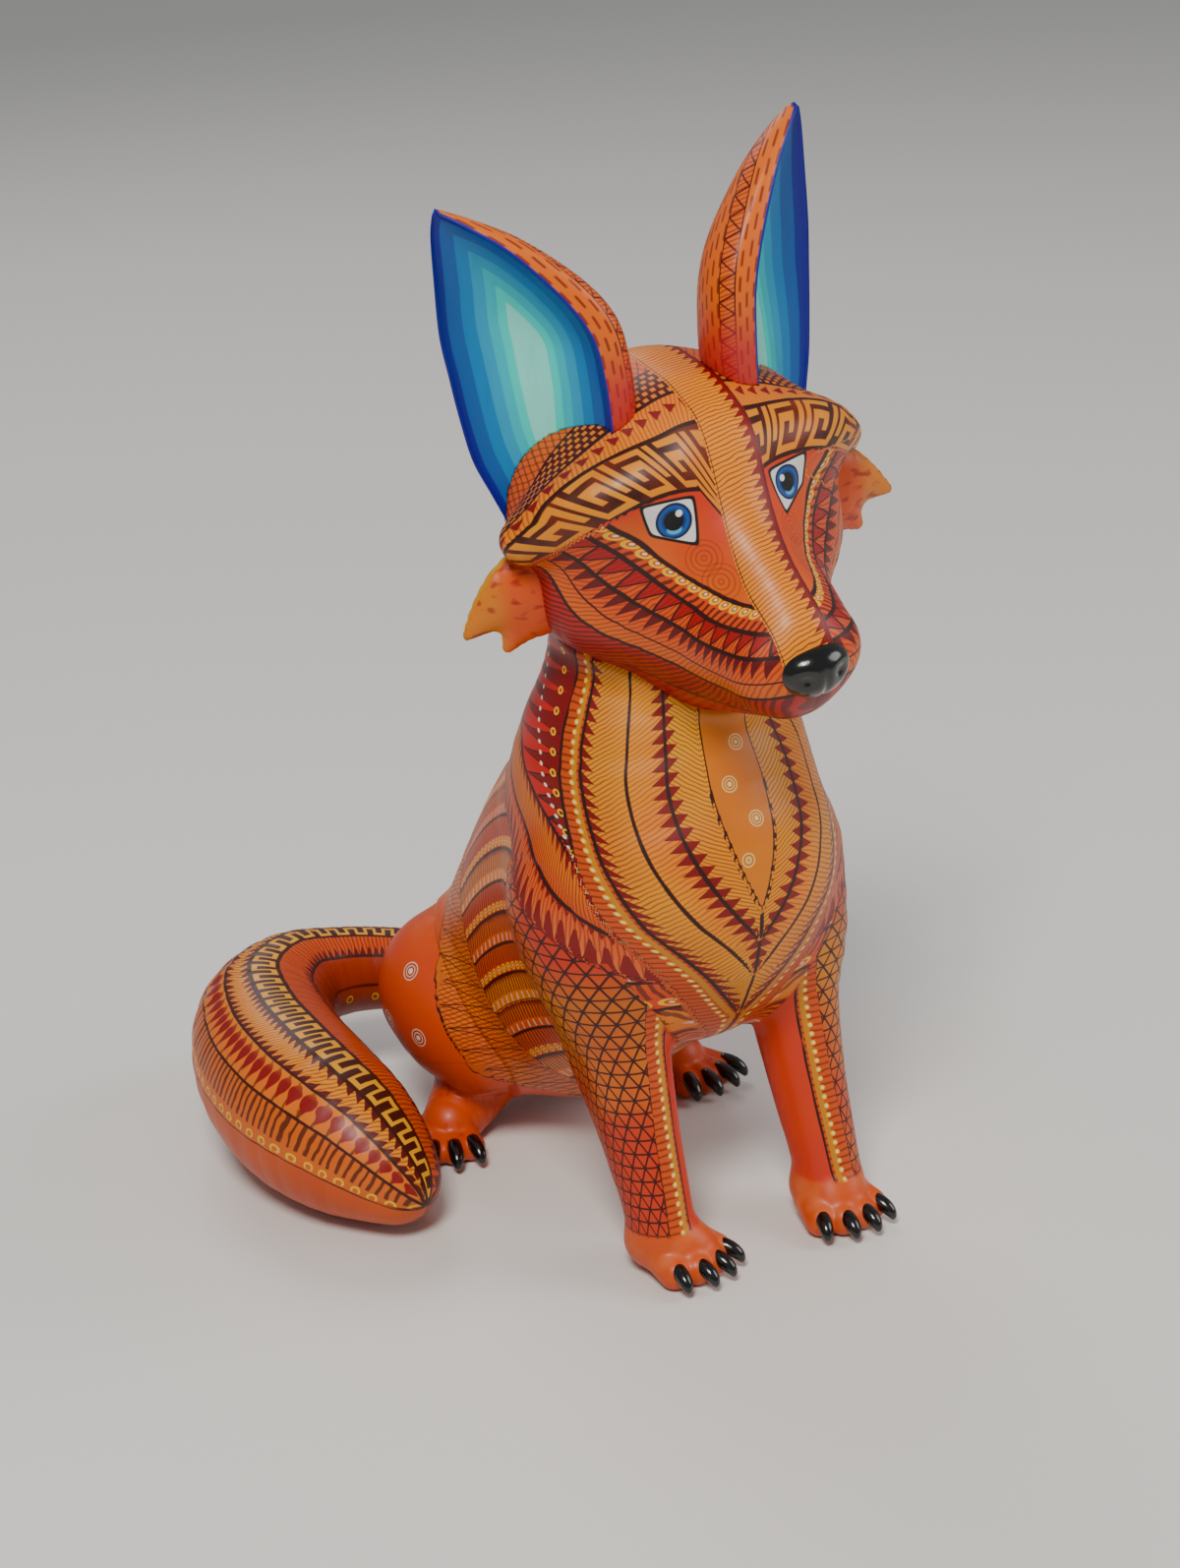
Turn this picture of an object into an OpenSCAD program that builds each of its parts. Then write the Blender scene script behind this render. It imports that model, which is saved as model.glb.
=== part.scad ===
// Seated fox figure, carved in blocks of light wood, dowelled and painted.
// The fox faces -Y and sits on the plane z = 0. All sizes are in millimetres.

/* [Placement] */
// Distance the whole figure is moved along X, so that its box is centred on the origin
shift_x = 25.4; // [0:0.1:50]
// Distance the whole figure is moved along Y, so that its box is centred on the origin
shift_y = -94.1; // [-150:0.1:0]

/* [Head] */
// Height of the head's pivot point above the ground
head_z = 230; // [222:1:236]
// Sideways tilt of the head, in degrees
head_roll = -8; // [-12:1:4]
// Turn of the head, in degrees
head_yaw = -4; // [-12:1:8]
// Half of the head's greatest width
head_half_width = 55; // [50:1:58]

/* [Ears] */
// Length of an ear from its base point to its tip
ear_length = 83; // [74:1:90]
// Turn of the ear's opening away from straight ahead, in degrees
ear_turn = 40; // [30:1:50]
// Outward lean of the ear, in degrees
ear_lean = 12; // [8:1:16]
// Radius of the peg that an ear stands on
ear_peg_r = 4.5; // [4:0.5:5]
// Height that the ear's peg reaches into the head
ear_peg_depth = 26; // [20:1:28]

/* [Body] */
// Half of the body's width at the chest
chest_half_width = 51; // [45:1:54]
// Distance from the middle of the body to each foreleg's axis
foreleg_spacing = 33; // [31:1:36]
// Distance from the middle of the body to each haunch's centre
haunch_spacing = 31; // [29:1:33]

// Inward turn of the right forepaw, in degrees
right_paw_turn = 16; // [0:1:18]
// Outward turn of the right hind foot beyond the left one's, in degrees
right_foot_turn = 14; // [0:1:16]

/* [Tail] */
// Greatest half-thickness of the tail
tail_radius = 29; // [25:1:30]
// Radius of the peg at the tail's root
tail_peg_r = 6; // [5:0.5:7]
// Length of the tail's peg inside the rump
tail_peg_depth = 30; // [22:1:34]

/* [Joinery] */
// Radius of the dowels that hold the legs and the neck
dowel_r = 4; // [3:0.5:5]
// Radial gap between a removable peg and its socket
peg_gap = 0.05; // [0.02:0.01:0.1]
// Gap between a removable piece and the piece that it stands against
piece_gap = 0.4; // [0.3:0.05:0.6]
// Gap between the tail and the haunch that it passes
haunch_gap = 1.5; // [1:0.1:2]

/* [Hidden] */
$fn = 48;
up_z = [0, 0, 1];
back_y = [0, 1, 0];

// A station is [x, y, z, half-width, half-height] of the section at one point of a piece's centre line.
torso_line = [
    [0, 61, 222, 35, 26],
    [0, 62, 196, 38, 30],
    [0, 60, 168, 43, 34],
    [0, 58, 144, 47, 45],
    [0, 66, 120, chest_half_width, 62],
    [0, 80, 100, 48, 72],
    [0, 104, 78, 45, 68],
    [0, 128, 57, 41, 58],
    [0, 143, 38, 36, 45]];
torso_caps = [16, 26];
head_line = [
    [0, 62, 17, 54, 44],
    [0, 48, 11, head_half_width, 48],
    [0, 32, 5, 50, 46],
    [0, 14, -3, 36, 37],
    [0, -3, -13, 26, 26],
    [0, -17, -19, 20, 19]];
head_caps = [34, 10];
ear_line = [
    [2, 9, -16, 17, 13],
    [-1, 9, 5, 25, 13],
    [-5, 9, 22, 28, 13],
    [-6, 8, 38, 27, 12],
    [-5, 7, 52, 22, 10],
    [-2, 5, 66, 15, 8],
    [2, 3, ear_length - 6, 6, 4]];
scoop_line = [
    [3, -4, -14, 13, 9],
    [0, -4, 5, 18, 12],
    [-2, -4, 22, 20, 13],
    [-2, -4, 38, 19, 12],
    [-1, -4, 52, 14, 10],
    [1, -4, 66, 8, 7]];
ear_caps = [8, 6];
foreleg_line = [
    [-3, 53, 124, 21, 24],
    [-4, 50, 112, 22, 25],
    [-4, 44, 94, 20, 22],
    [-3, 38, 76, 15, 17],
    [-1, 31, 57, 13, 15],
    [0, 24, 36, 12.5, 13],
    [0, 17, 20, 12, 12]];
foreleg_caps = [20, 8];
forepaw_line = [
    [0, 28, 8, 11, 10],
    [0, 18, 8, 14, 9],
    [0, 10, 6, 15, 8]];
forepaw_caps = [8, 8];
haunch_line = [
    [0, 158, 46, 28, 30],
    [0, 148, 48, 28, 31],
    [-1, 138, 49, 26, 29]];
haunch_caps = [24, 22];
hind_foot_line = [
    [-4, 148, 12, 10, 11],
    [9, 136, 12, 12, 11],
    [20, 124, 8, 13, 9]];
hind_foot_caps = [8, 8];
tail_line = [
    [-20, 186, 39, 15, 15],
    [-33, 198, 40, 15, 15],
    [-50, 205, 42, 16, 16],
    [-70, 204, 43, 19, 19],
    [-90, 189, 37, 24, 25],
    [-99, 165, 32, 28, 29],
    [-100, 138, 28.6, tail_radius, 29],
    [-98, 114, 27, 26, 26],
    [-94, 99, 21, 20, 20]];
tail_caps = [6, 22];
ear_base = [42, 44, 42];
ear_peg_place = [-6, 14.5];
tuft_line = [
    [44, 46, 4, 15, 5],
    [56, 48, 2, 15, 5],
    [64, 50, -1, 12, 4],
    [71, 51, -4, 6, 3]];
tuft_caps = [3, 4];
tail_root = [-20, 186, 39];
tail_way = [-16, 14, 0];
cap_steps = 4;
nose_place = [0, -26, -19];
ankle_y = 24;
heel_y = 146;
toe_count = 4;
toe_fan = 20;
hind_foot_turn = 40;
claw_tilt = 112;
claw_length = 9;
claw_r = 2.4;
claw_tip_r = 0.9;

// Point on the smooth curve through b and c, at t from 0 to 1, with a and d as its neighbours.
function between(a, b, c, d, t) = 0.5 * (2 * b + (c - a) * t + (2 * a - 5 * b + 4 * c - d) * t * t
    + (3 * b - a - 3 * c + d) * t * t * t);
function smooth(line, k) = let (last = len(line) - 1)
    [for (i = [0 : last - 1]) for (j = [0 : k - 1])
        between(line[max(i - 1, 0)], line[i], line[i + 1], line[min(i + 2, last)], j / k), line[last]];
function unit(v) = v / norm(v);
function place(s) = [s[0], s[1], s[2]];
// Ring of points around a section's centre, square to way, with its height along up.
function ring(centre, way, up, a, b, sides) = let (side = unit(cross(way, up)), top = cross(side, way))
    [for (q = [0 : sides - 1]) centre + a * cos(360 * q / sides) * side + b * sin(360 * q / sides) * top];

// Ring at step c of a rounded end of the length cap, where step 0 is the section itself.
function rounded(s, way, up, cap, c, grow, sides) = let (a = 90 * c / cap_steps)
    ring(place(s) + way * cap * sin(a), way, up, (s[3] + grow) * cos(a), (s[4] + grow) * cos(a), sides);

// Smooth solid along a list of stations, with a rounded end of the length in caps at each end.
// grow makes it larger all round. level keeps every section square to one direction.
module carved(line, up, caps, steps = 3, sides = 24, grow = 0, level = false) {
    path = smooth(line, steps);
    last = len(path) - 1;
    way = [for (i = [0 : last]) level ? [0, 0, -1]
        : unit(place(path[min(i + 1, last)]) - place(path[max(i - 1, 0)]))];
    first_cap = caps[0] + grow;
    last_cap = caps[1] + grow;
    rings = concat(
        [for (c = [cap_steps - 1 : -1 : 1]) rounded(path[0], way[0], up, -first_cap, c, grow, sides)],
        [for (i = [0 : last]) rounded(path[i], way[i], up, 0, 0, grow, sides)],
        [for (c = [1 : cap_steps - 1]) rounded(path[last], way[last], up, last_cap, c, grow, sides)]);
    count = len(rings);
    points = concat([for (r = rings) each r],
        [place(path[0]) - way[0] * first_cap, place(path[last]) + way[last] * last_cap]);
    faces = concat(
        [for (i = [0 : count - 2]) for (q = [0 : sides - 1]) let (n = (q + 1) % sides)
            each [[i * sides + q, i * sides + n, (i + 1) * sides + n],
                [i * sides + q, (i + 1) * sides + n, (i + 1) * sides + q]]],
        [for (q = [0 : sides - 1]) [(q + 1) % sides, q, count * sides]],
        [for (q = [0 : sides - 1]) [(count - 1) * sides + q, (count - 1) * sides + (q + 1) % sides,
            count * sides + 1]]);
    polyhedron(points, faces);
}

// Straight round peg from one point to another.
module peg(from, to, r) {
    d = to - from;
    translate(from) rotate([0, acos(d[2] / norm(d)), atan2(d[1], d[0])]) cylinder(h = norm(d), r = r);
}

module placed() { translate([shift_x, shift_y, 0]) children(); }
module on_head() { translate([0, 0, head_z]) rotate([0, head_roll, head_yaw]) children(); }
module sided(side) { scale([side, 1, 1]) children(); }
// An ear's own frame: +Z runs up the ear, and the scoop opens towards -Y.
module at_ear() { translate(ear_base) rotate([0, ear_lean, 0]) rotate([0, 0, ear_turn]) children(); }

module torso_form(grow = 0) { carved(torso_line, back_y, torso_caps, grow = grow, level = true); }
module head_form(grow = 0) { on_head() carved(head_line, up_z, head_caps, sides = 28, grow = grow); }
module foreleg_form() {
    translate([foreleg_spacing, 0, 0]) carved(foreleg_line, back_y, foreleg_caps, sides = 20);
}
// What stands at centre on the floor, turned about the upright through it.
module turned_at(centre, turn) { translate(centre) rotate([0, 0, turn]) translate(-centre) children(); }
// What stands on a forepaw, turned about the ankle; side tells the paw, and only the right one turns.
module on_forepaw(side) {
    translate([foreleg_spacing, 0, 0]) turned_at([0, ankle_y, 0], side < 0 ? -right_paw_turn : 0) children();
}
module forepaw_form(side) { on_forepaw(side) carved(forepaw_line, up_z, forepaw_caps, sides = 20); }
module haunch_form() {
    translate([haunch_spacing, 0, 0]) carved(haunch_line, up_z, haunch_caps, sides = 24);
}
// What stands on a hind foot, turned about the heel; only the right one turns.
module on_hind_foot(side) {
    translate([haunch_spacing, 0, 0]) turned_at([0, heel_y, 0], side < 0 ? right_foot_turn : 0) children();
}
module hind_foot_form(side) { on_hind_foot(side) carved(hind_foot_line, up_z, hind_foot_caps, sides = 20); }
module tail_form(grow = 0) { carved(tail_line, up_z, tail_caps, sides = 28, grow = grow); }
module above_ground() {
    intersection() {
        children();
        translate([-200, -200, 0]) cube([400, 600, 600]);
    }
}
module neck_dowel_form(r) { peg([0, 60, 190], [0, 60, 240], r); }
module foreleg_dowel_form(r) { peg([14, 52, 112], [foreleg_spacing - 2, 49, 112], r); }
module hind_leg_dowel_form(r) { peg([12, 150, 48], [haunch_spacing + 2, 150, 48], r); }
module tail_peg_form(r, reach) {
    way = unit(tail_way);
    peg(tail_root - way * tail_peg_depth, tail_root + way * reach, r);
}
module ear_peg_form(r, reach) {
    at_ear() translate([each ear_peg_place, -ear_peg_depth]) cylinder(h = ear_peg_depth + reach, r = r);
}

module torso() {
    color("#b4471c") difference() {
        torso_form();
        head_form();
        for (side = [-1, 1]) sided(side) {
            foreleg_form();
            haunch_form();
            hind_foot_form(side);
            foreleg_dowel_form(dowel_r);
            hind_leg_dowel_form(dowel_r);
        }
        neck_dowel_form(dowel_r);
        tail_form(piece_gap);
        tail_peg_form(tail_peg_r + peg_gap, 0);
    }
}
module head() {
    color("#d9781f") difference() {
        head_form();
        neck_dowel_form(dowel_r);
        on_head() for (side = [-1, 1]) sided(side) ear_peg_form(ear_peg_r + peg_gap, 20);
    }
}
module neck_dowel() { color("#d8c08c") neck_dowel_form(dowel_r); }
module nose() {
    color("#161616") on_head() translate(nose_place) scale([1.15, 1, 0.85]) sphere(r = 9);
}
module ear(side) {
    color("#c9562a") difference() {
        on_head() sided(side) difference() {
            at_ear() difference() {
                carved(ear_line, back_y, ear_caps, sides = 24);
                carved(scoop_line, back_y, ear_caps, sides = 16);
            }
            ear_peg_form(ear_peg_r, 18);
        }
        head_form(piece_gap);
    }
}
module ear_peg(side) { color("#d8c08c") on_head() sided(side) ear_peg_form(ear_peg_r, 18); }
module cheek_tuft(side) {
    color("#d98a2b") on_head() sided(side) carved(tuft_line, back_y, tuft_caps, sides = 16);
}
module foreleg(side) {
    color("#c4571f") sided(side) difference() {
        above_ground() { foreleg_form(); forepaw_form(side); }
        foreleg_dowel_form(dowel_r);
    }
}
module foreleg_dowel(side) { color("#d8c08c") sided(side) foreleg_dowel_form(dowel_r); }
module hind_leg(side) {
    color("#d0602a") sided(side) difference() {
        above_ground() { haunch_form(); hind_foot_form(side); }
        hind_leg_dowel_form(dowel_r);
        sided(side) tail_form(haunch_gap);
        sided(side) tail_peg_form(tail_peg_r + haunch_gap, 0);
    }
}
module hind_leg_dowel(side) { color("#d8c08c") sided(side) hind_leg_dowel_form(dowel_r); }
// Claw that points forwards along -Y and down, turned about the upright by turn.
module claw(at, turn) {
    translate(at) rotate([0, 0, turn]) rotate([claw_tilt, 0, 0])
        cylinder(h = claw_length, r1 = claw_r, r2 = claw_tip_r);
}
module fore_claws(side) {
    color("#101010") sided(side) on_forepaw(side)
        for (i = [0 : toe_count - 1]) let (a = (i - (toe_count - 1) / 2) * toe_fan)
            claw([16 * sin(a), 20 - 16 * cos(a), 7], a);
}
module hind_claws(side) {
    color("#101010") sided(side) on_hind_foot(side)
        for (i = [0 : toe_count - 1]) let (a = hind_foot_turn + (i - (toe_count - 1) / 2) * toe_fan)
            claw([15 + 14 * sin(a), 128 - 14 * cos(a), 7], a);
}
module tail() {
    color("#d07a22") difference() {
        above_ground() tail_form();
        tail_peg_form(tail_peg_r, 18);
    }
}
module tail_peg() { color("#d8c08c") tail_peg_form(tail_peg_r, 18); }

placed() torso();
placed() head();
placed() neck_dowel();
placed() nose();
placed() ear(-1);  // ear_right
placed() ear(1);  // ear_left
placed() ear_peg(-1);  // ear_peg_right
placed() ear_peg(1);  // ear_peg_left
placed() cheek_tuft(-1);  // cheek_tuft_right
placed() cheek_tuft(1);  // cheek_tuft_left
placed() foreleg(-1);  // foreleg_right
placed() foreleg(1);  // foreleg_left
placed() foreleg_dowel(-1);  // foreleg_dowel_right
placed() foreleg_dowel(1);  // foreleg_dowel_left
placed() hind_leg(-1);  // hind_leg_right
placed() hind_leg(1);  // hind_leg_left
placed() hind_leg_dowel(-1);  // hind_leg_dowel_right
placed() hind_leg_dowel(1);  // hind_leg_dowel_left
placed() fore_claws(-1);  // fore_claws_right
placed() fore_claws(1);  // fore_claws_left
placed() hind_claws(-1);  // hind_claws_right
placed() hind_claws(1);  // hind_claws_left
placed() tail();
placed() tail_peg();
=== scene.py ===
# Seated fox, carved in light wood and painted with fine bands, built around its CAD frame.
# Shapes are worked out in the fox's own millimetres: it faces -Y, its middle plane is x = 0 and it
# stands on z = 0.
import math
import bpy
import numpy as np
from mathutils import Matrix, Vector


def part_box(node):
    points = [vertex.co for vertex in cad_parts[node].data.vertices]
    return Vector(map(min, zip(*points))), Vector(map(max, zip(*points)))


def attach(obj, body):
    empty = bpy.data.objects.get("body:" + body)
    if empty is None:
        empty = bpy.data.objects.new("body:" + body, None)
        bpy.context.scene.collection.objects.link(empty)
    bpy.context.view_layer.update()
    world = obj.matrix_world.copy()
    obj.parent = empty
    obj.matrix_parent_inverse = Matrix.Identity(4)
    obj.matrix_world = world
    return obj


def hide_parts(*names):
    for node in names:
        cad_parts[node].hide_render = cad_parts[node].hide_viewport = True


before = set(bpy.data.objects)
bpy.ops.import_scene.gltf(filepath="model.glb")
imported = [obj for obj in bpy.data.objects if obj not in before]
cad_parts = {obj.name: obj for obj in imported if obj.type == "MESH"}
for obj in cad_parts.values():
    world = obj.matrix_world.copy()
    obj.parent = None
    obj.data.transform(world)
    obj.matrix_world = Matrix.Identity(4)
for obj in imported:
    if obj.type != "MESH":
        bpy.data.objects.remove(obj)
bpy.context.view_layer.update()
print("frame loaded")


def boxMiddle(node):
    low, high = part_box(node)
    return (np.array(low) + np.array(high)) * 500.0  # mm


fox = {
    "neckDowelY": 60.0,    # the neck dowel stands this far behind the forepaws' middle
    "headPivotZ": 230.0,
    "headRoll": -8.0,      # degrees, the head leans to its own right
    "headYaw": -4.0,       # degrees
    "earBase": (42.0, 44.0, 42.0),
    "earTurn": 40.0,
    "earLean": 12.0,
}
shift = np.array([(boxMiddle("foreleg_right")[0] + boxMiddle("foreleg_left")[0]) / 2,
                  boxMiddle("neck_dowel")[1] - fox["neckDowelY"], 0.0])
density = 1.0   # grid density of every piece


def toRow(p):
    # row frame metres = (fox millimetres + shift) / 1000
    return (p + shift) / 1000.0


def turnAbout(axis, degrees):
    # Rodrigues' rotation matrix about a coordinate axis
    c, s = math.cos(math.radians(degrees)), math.sin(math.radians(degrees))
    i, j = {"x": (1, 2), "y": (2, 0), "z": (0, 1)}[axis]
    m = np.eye(3)
    m[i, i] = m[j, j] = c
    m[i, j], m[j, i] = -s, s
    return m


headTurn = turnAbout("z", fox["headYaw"]) @ turnAbout("y", fox["headRoll"])
headPivot = np.array([0, 0, fox["headPivotZ"]])
earTurnLeft = turnAbout("y", fox["earLean"]) @ turnAbout("z", fox["earTurn"])


def headToFox(p):
    return p @ headTurn.T + headPivot


def foxToHead(p):
    return (p - headPivot) @ headTurn


def curveThrough(points, steps):
    # Catmull-Rom: 0.5 (2b + (c-a) t + (2a-5b+4c-d) t^2 + (3b-a-3c+d) t^3) between b and c
    pts = np.array(points, float)
    ends = np.vstack([pts[:1], pts, pts[-1:]])
    t = np.linspace(0, 1, steps, endpoint=False)[:, None]
    pieces = []
    for i in range(len(pts) - 1):
        a, b, c, d = ends[i:i + 4]
        pieces.append(0.5 * (2 * b + (c - a) * t + (2 * a - 5 * b + 4 * c - d) * t ** 2
                             + (3 * b - a - 3 * c + d) * t ** 3))
    return np.vstack(pieces + [pts[-1:]])


def chainDistance(p, chain):
    # smallest of |p - (a + t (b - a))| - (ra + t (rb - ra)) over the chain's links, t = nearest place on the link
    best = np.full(len(p), 1e9)
    for a, b in zip(chain[:-1], chain[1:]):
        d = b[:3] - a[:3]
        rel = p - a[:3]
        t = np.clip(rel @ d / max(d @ d, 1e-9), 0, 1)
        gap = np.sqrt(((rel - t[:, None] * d) ** 2).sum(1)) - (a[3] + t * (b[3] - a[3]))
        best = np.minimum(best, gap)
    return best


def blendMin(a, b, k):
    # polynomial smooth minimum: min(a, b) - k h^2 / 4, h = max(1 - |a - b| / k, 0)
    h = np.maximum(1 - np.abs(a - b) / k, 0)
    return np.minimum(a, b) - k * h * h / 4


def mirrored(p):
    return np.column_stack([np.abs(p[:, 0]), p[:, 1:]])


# every chain is a list of balls [x, y, z, radius]; "thin" squeezes the space along a direction first
bodyShape = {
    "torso": {
        "neck": {"balls": [[0, 64, 232, 25], [0, 63, 205, 28], [0, 61, 185, 31], [0, 60, 165, 36]], "wide": 1.2},
        "chest": {"balls": [[0, 60, 160, 39], [0, 55, 140, 45.5], [0, 52, 124, 49], [0, 56, 108, 46]], "wide": 1.06},
        "back": {"balls": [[0, 68, 140, 45], [0, 84, 120, 47.5], [0, 102, 99, 47], [0, 128, 70, 44], [0, 148, 48, 42]],
                 "wide": 1.0},
        "belly": {"balls": [[0, 70, 100, 36], [0, 92, 76, 38], [0, 120, 52, 36]], "wide": 1.05},
    },
    "foreleg": {
        "upper": {"balls": [[36, 53, 118, 24], [35, 44, 96, 21], [33, 37, 74, 15.5], [32.5, 29, 48, 12.8],
                            [32.5, 21, 26, 11.4], [32.5, 17, 14, 11]], "wide": 1.0},
        "elbow": {"balls": [[38, 58, 104, 17], [36, 52, 82, 13], [34, 42, 56, 10.5], [33, 28, 34, 9]], "wide": 1.0},
        "paw": {"balls": [[32.5, 20, 10, 10.5], [31.5, 11, 8, 9.5]], "wide": 1.15},
        "toeA": {"balls": [[25, 16, 8, 6.2], [21.5, 6, 5.4, 5.3]], "wide": 1.0, "soft": 1.6},
        "toeB": {"balls": [[29, 14, 8, 6.2], [28, 2.5, 5.4, 5.3]], "wide": 1.0, "soft": 1.6},
        "toeC": {"balls": [[34, 14, 8, 6.2], [35, 2.5, 5.4, 5.3]], "wide": 1.0, "soft": 1.6},
        "toeD": {"balls": [[38, 16, 8, 6.2], [41.5, 6, 5.4, 5.3]], "wide": 1.0, "soft": 1.6},
    },
    "hindLeg": {
        "haunch": {"balls": [[30, 153, 50, 29], [31, 142, 46, 28], [32, 132, 40, 22]], "wide": 1.0},
        "foot": {"balls": [[30, 146, 16, 14], [37, 138, 12, 12], [44, 130, 9, 10]], "wide": 1.0},
        "toeA": {"balls": [[42, 130, 6, 6], [40, 117, 5, 4.8]], "wide": 1.0, "soft": 1.6},
        "toeB": {"balls": [[45, 130, 6, 6], [46.5, 116, 5, 4.8]], "wide": 1.0, "soft": 1.6},
        "toeC": {"balls": [[48, 131, 6, 6], [53, 118, 5, 4.8]], "wide": 1.0, "soft": 1.6},
        "toeD": {"balls": [[50, 133, 6, 6], [58, 122.5, 5, 4.8]], "wide": 1.0, "soft": 1.6},
    },
    "tail": {
        "plume": {"balls": [[-16, 180, 39, 13], [-24, 192, 39.5, 14.5], [-38, 201, 41, 15], [-55, 205, 42.5, 16.3],
                            [-73, 203, 42.5, 19.5], [-90, 189, 38, 24.5], [-98, 165, 32.5, 28], [-100, 138, 29.3, 29],
                            [-98, 116, 27, 26.5], [-94, 101, 23, 21], [-91, 91, 19, 15.5]], "wide": 1.0},
    },
}
headShape = {
    "skull": {"balls": [[0, 56, 24, 38], [0, 44, 22, 38]], "wide": 1.0},
    "skullSide": {"balls": [[22, 52, 21, 31], [22, 46, 20, 31]], "wide": 1.0},
    "muzzle": {"balls": [[0, 44, 6, 37], [0, 28, 3, 30], [0, 10, -5, 22], [0, -6, -12, 17], [0, -16, -18, 14]],
               "wide": 1.0},
    "cheek": {"balls": [[30, 50, 0, 22], [30, 42, -3, 21], [20, 24, -9, 16], [11, 4, -17, 12]], "wide": 1.0},
    "pad": {"balls": [[10, -2, -15, 13], [9.5, -15, -18.5, 12.2]], "wide": 1.0},
    "jaw": {"balls": [[0, 46, -13, 31], [0, 26, -21, 25], [0, 6, -26, 17], [0, -10, -28, 11.5]], "wide": 1.1},
    "brow": {"balls": [[10, 20, 34, 9], [30, 22, 33, 9], [46, 32, 28, 9], [56, 40, 22, 7]], "wide": 1.0},
    "bridge": {"balls": [[0, 24, 38, 11], [0, 10, 18, 10], [0, -6, 3, 9], [0, -18, -8, 8]], "wide": 1.0},
}
tuftShape = {
    "upper": {"balls": [[38, 44, 5, 14], [54, 47, 4.5, 12.5], [66, 50, 0.5, 7], [75, 51, -5, 2.2]], "wide": 1.0},
    "lower": {"balls": [[44, 46, -2, 11], [56, 49, -6, 7], [63, 51, -13, 2.2]], "wide": 1.0},
}
pawTurn = {"ankle": (33.0, 24.0), "right": 16.0}   # the right forepaw turns inwards about its ankle


footTurn = {"heel": (31.0, 146.0), "right": 14.0}  # and the right hind foot outwards about its heel


def turnedAbout(shape, names, centre, degrees):
    # the named balls turned about an upright: (x, y) -> centre + R(turn) ((x, y) - centre)
    turned = dict(shape)
    m = turnAbout("z", degrees)[:2, :2]
    centre = np.array(centre)
    for name in names:
        balls = np.array(shape[name]["balls"], float)
        balls[:, :2] = (balls[:, :2] - centre) @ m.T + centre
        turned[name] = dict(shape[name], balls=balls.tolist())
    return turned


def turnedPaw(shape):
    return turnedAbout(shape, ("paw", "toeA", "toeB", "toeC", "toeD"), pawTurn["ankle"], -pawTurn["right"])


def turnedFoot(shape):
    return turnedAbout(shape, ("foot", "toeA", "toeB", "toeC", "toeD"), footTurn["heel"], footTurn["right"])


def groupDistance(p, shape, k=7.0):
    # blended minimum over a group's chains; "wide" stretches a chain's section along x
    total = None
    for chain in shape.values():
        wide = chain["wide"]
        centreX = chain["balls"][0][0]
        q = p if wide == 1.0 else np.column_stack([centreX + (p[:, 0] - centreX) / wide, p[:, 1:]])
        steps = 1 if len(chain["balls"]) == 2 else 3
        balls = curveThrough(chain["balls"], steps)
        d = chainDistance(q, balls)
        total = d if total is None else blendMin(total, d, k if chain.get("soft") is None else chain["soft"])
    return total


def headDistance(p):
    # p in fox millimetres; the head's group is given in its own turned frame
    return groupDistance(mirrored(foxToHead(p)), headShape, 9.0)


def sideDistance(shape, k=7.0):
    return lambda p: groupDistance(mirrored(p), shape, k)


fields = {
    "torso": lambda p: groupDistance(p, bodyShape["torso"], 14.0),
    "head": headDistance,
    "foreleg": sideDistance(bodyShape["foreleg"], 4.0),
    "forelegTurned": sideDistance(turnedPaw(bodyShape["foreleg"]), 4.0),
    "hindLeg": sideDistance(bodyShape["hindLeg"], 5.0),
    "hindLegTurned": sideDistance(turnedFoot(bodyShape["hindLeg"]), 5.0),
    "tail": lambda p: groupDistance(p, bodyShape["tail"]),
}


def pieceField(own, others, soft=10.0, dip=0.7):
    # blended union of a piece and its neighbours, pushed inwards where a neighbour's own shape comes first
    def field(p):
        mine = fields[own](p)
        union = mine
        nearest = np.full(len(p), 1e9)
        for name in others:
            d = fields[name](p)
            union = blendMin(union, d, soft)
            nearest = np.minimum(nearest, d)
        return union + dip * np.maximum(mine - nearest, 0)
    return field


def castSurface(origins, ways, field, reach=140.0, rounds=26):
    # walks from each origin along its way by the field's own depth until the field is nought
    t = np.zeros(len(origins))
    for step in range(rounds):
        t = np.clip(t - 0.9 * field(origins + t[:, None] * ways), 0, reach)
    return origins + t[:, None] * ways


def gridFaces(rows, cols, closed=True):
    # quads between neighbouring rows of points, wrapped round each row when closed
    r = np.arange(rows - 1)[:, None]
    c = np.arange(cols if closed else cols - 1)[None, :]
    n = (c + 1) % cols
    return np.stack([r * cols + c, r * cols + n, (r + 1) * cols + n, (r + 1) * cols + c], -1).reshape(-1, 4)


def makeMesh(name, points, quads, tris=None):
    # numpy arrays of points, quads and triangles become one mesh object at the origin
    mesh = bpy.data.meshes.new(name)
    tris = np.zeros((0, 3), int) if tris is None else tris
    mesh.vertices.add(len(points))
    mesh.vertices.foreach_set("co", np.ascontiguousarray(points, np.float32).ravel())
    loops = np.concatenate([quads.ravel(), tris.ravel()]).astype(np.int32)
    sizes = np.concatenate([np.full(len(quads), 4), np.full(len(tris), 3)]).astype(np.int32)
    mesh.loops.add(len(loops))
    mesh.loops.foreach_set("vertex_index", loops)
    mesh.polygons.add(len(sizes))
    mesh.polygons.foreach_set("loop_start", np.concatenate([[0], np.cumsum(sizes)[:-1]]).astype(np.int32))
    mesh.polygons.foreach_set("use_smooth", np.ones(len(sizes), bool))
    mesh.update()
    mesh.validate()
    piece = bpy.data.objects.new(name, mesh)
    bpy.context.scene.collection.objects.link(piece)
    return piece


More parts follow.
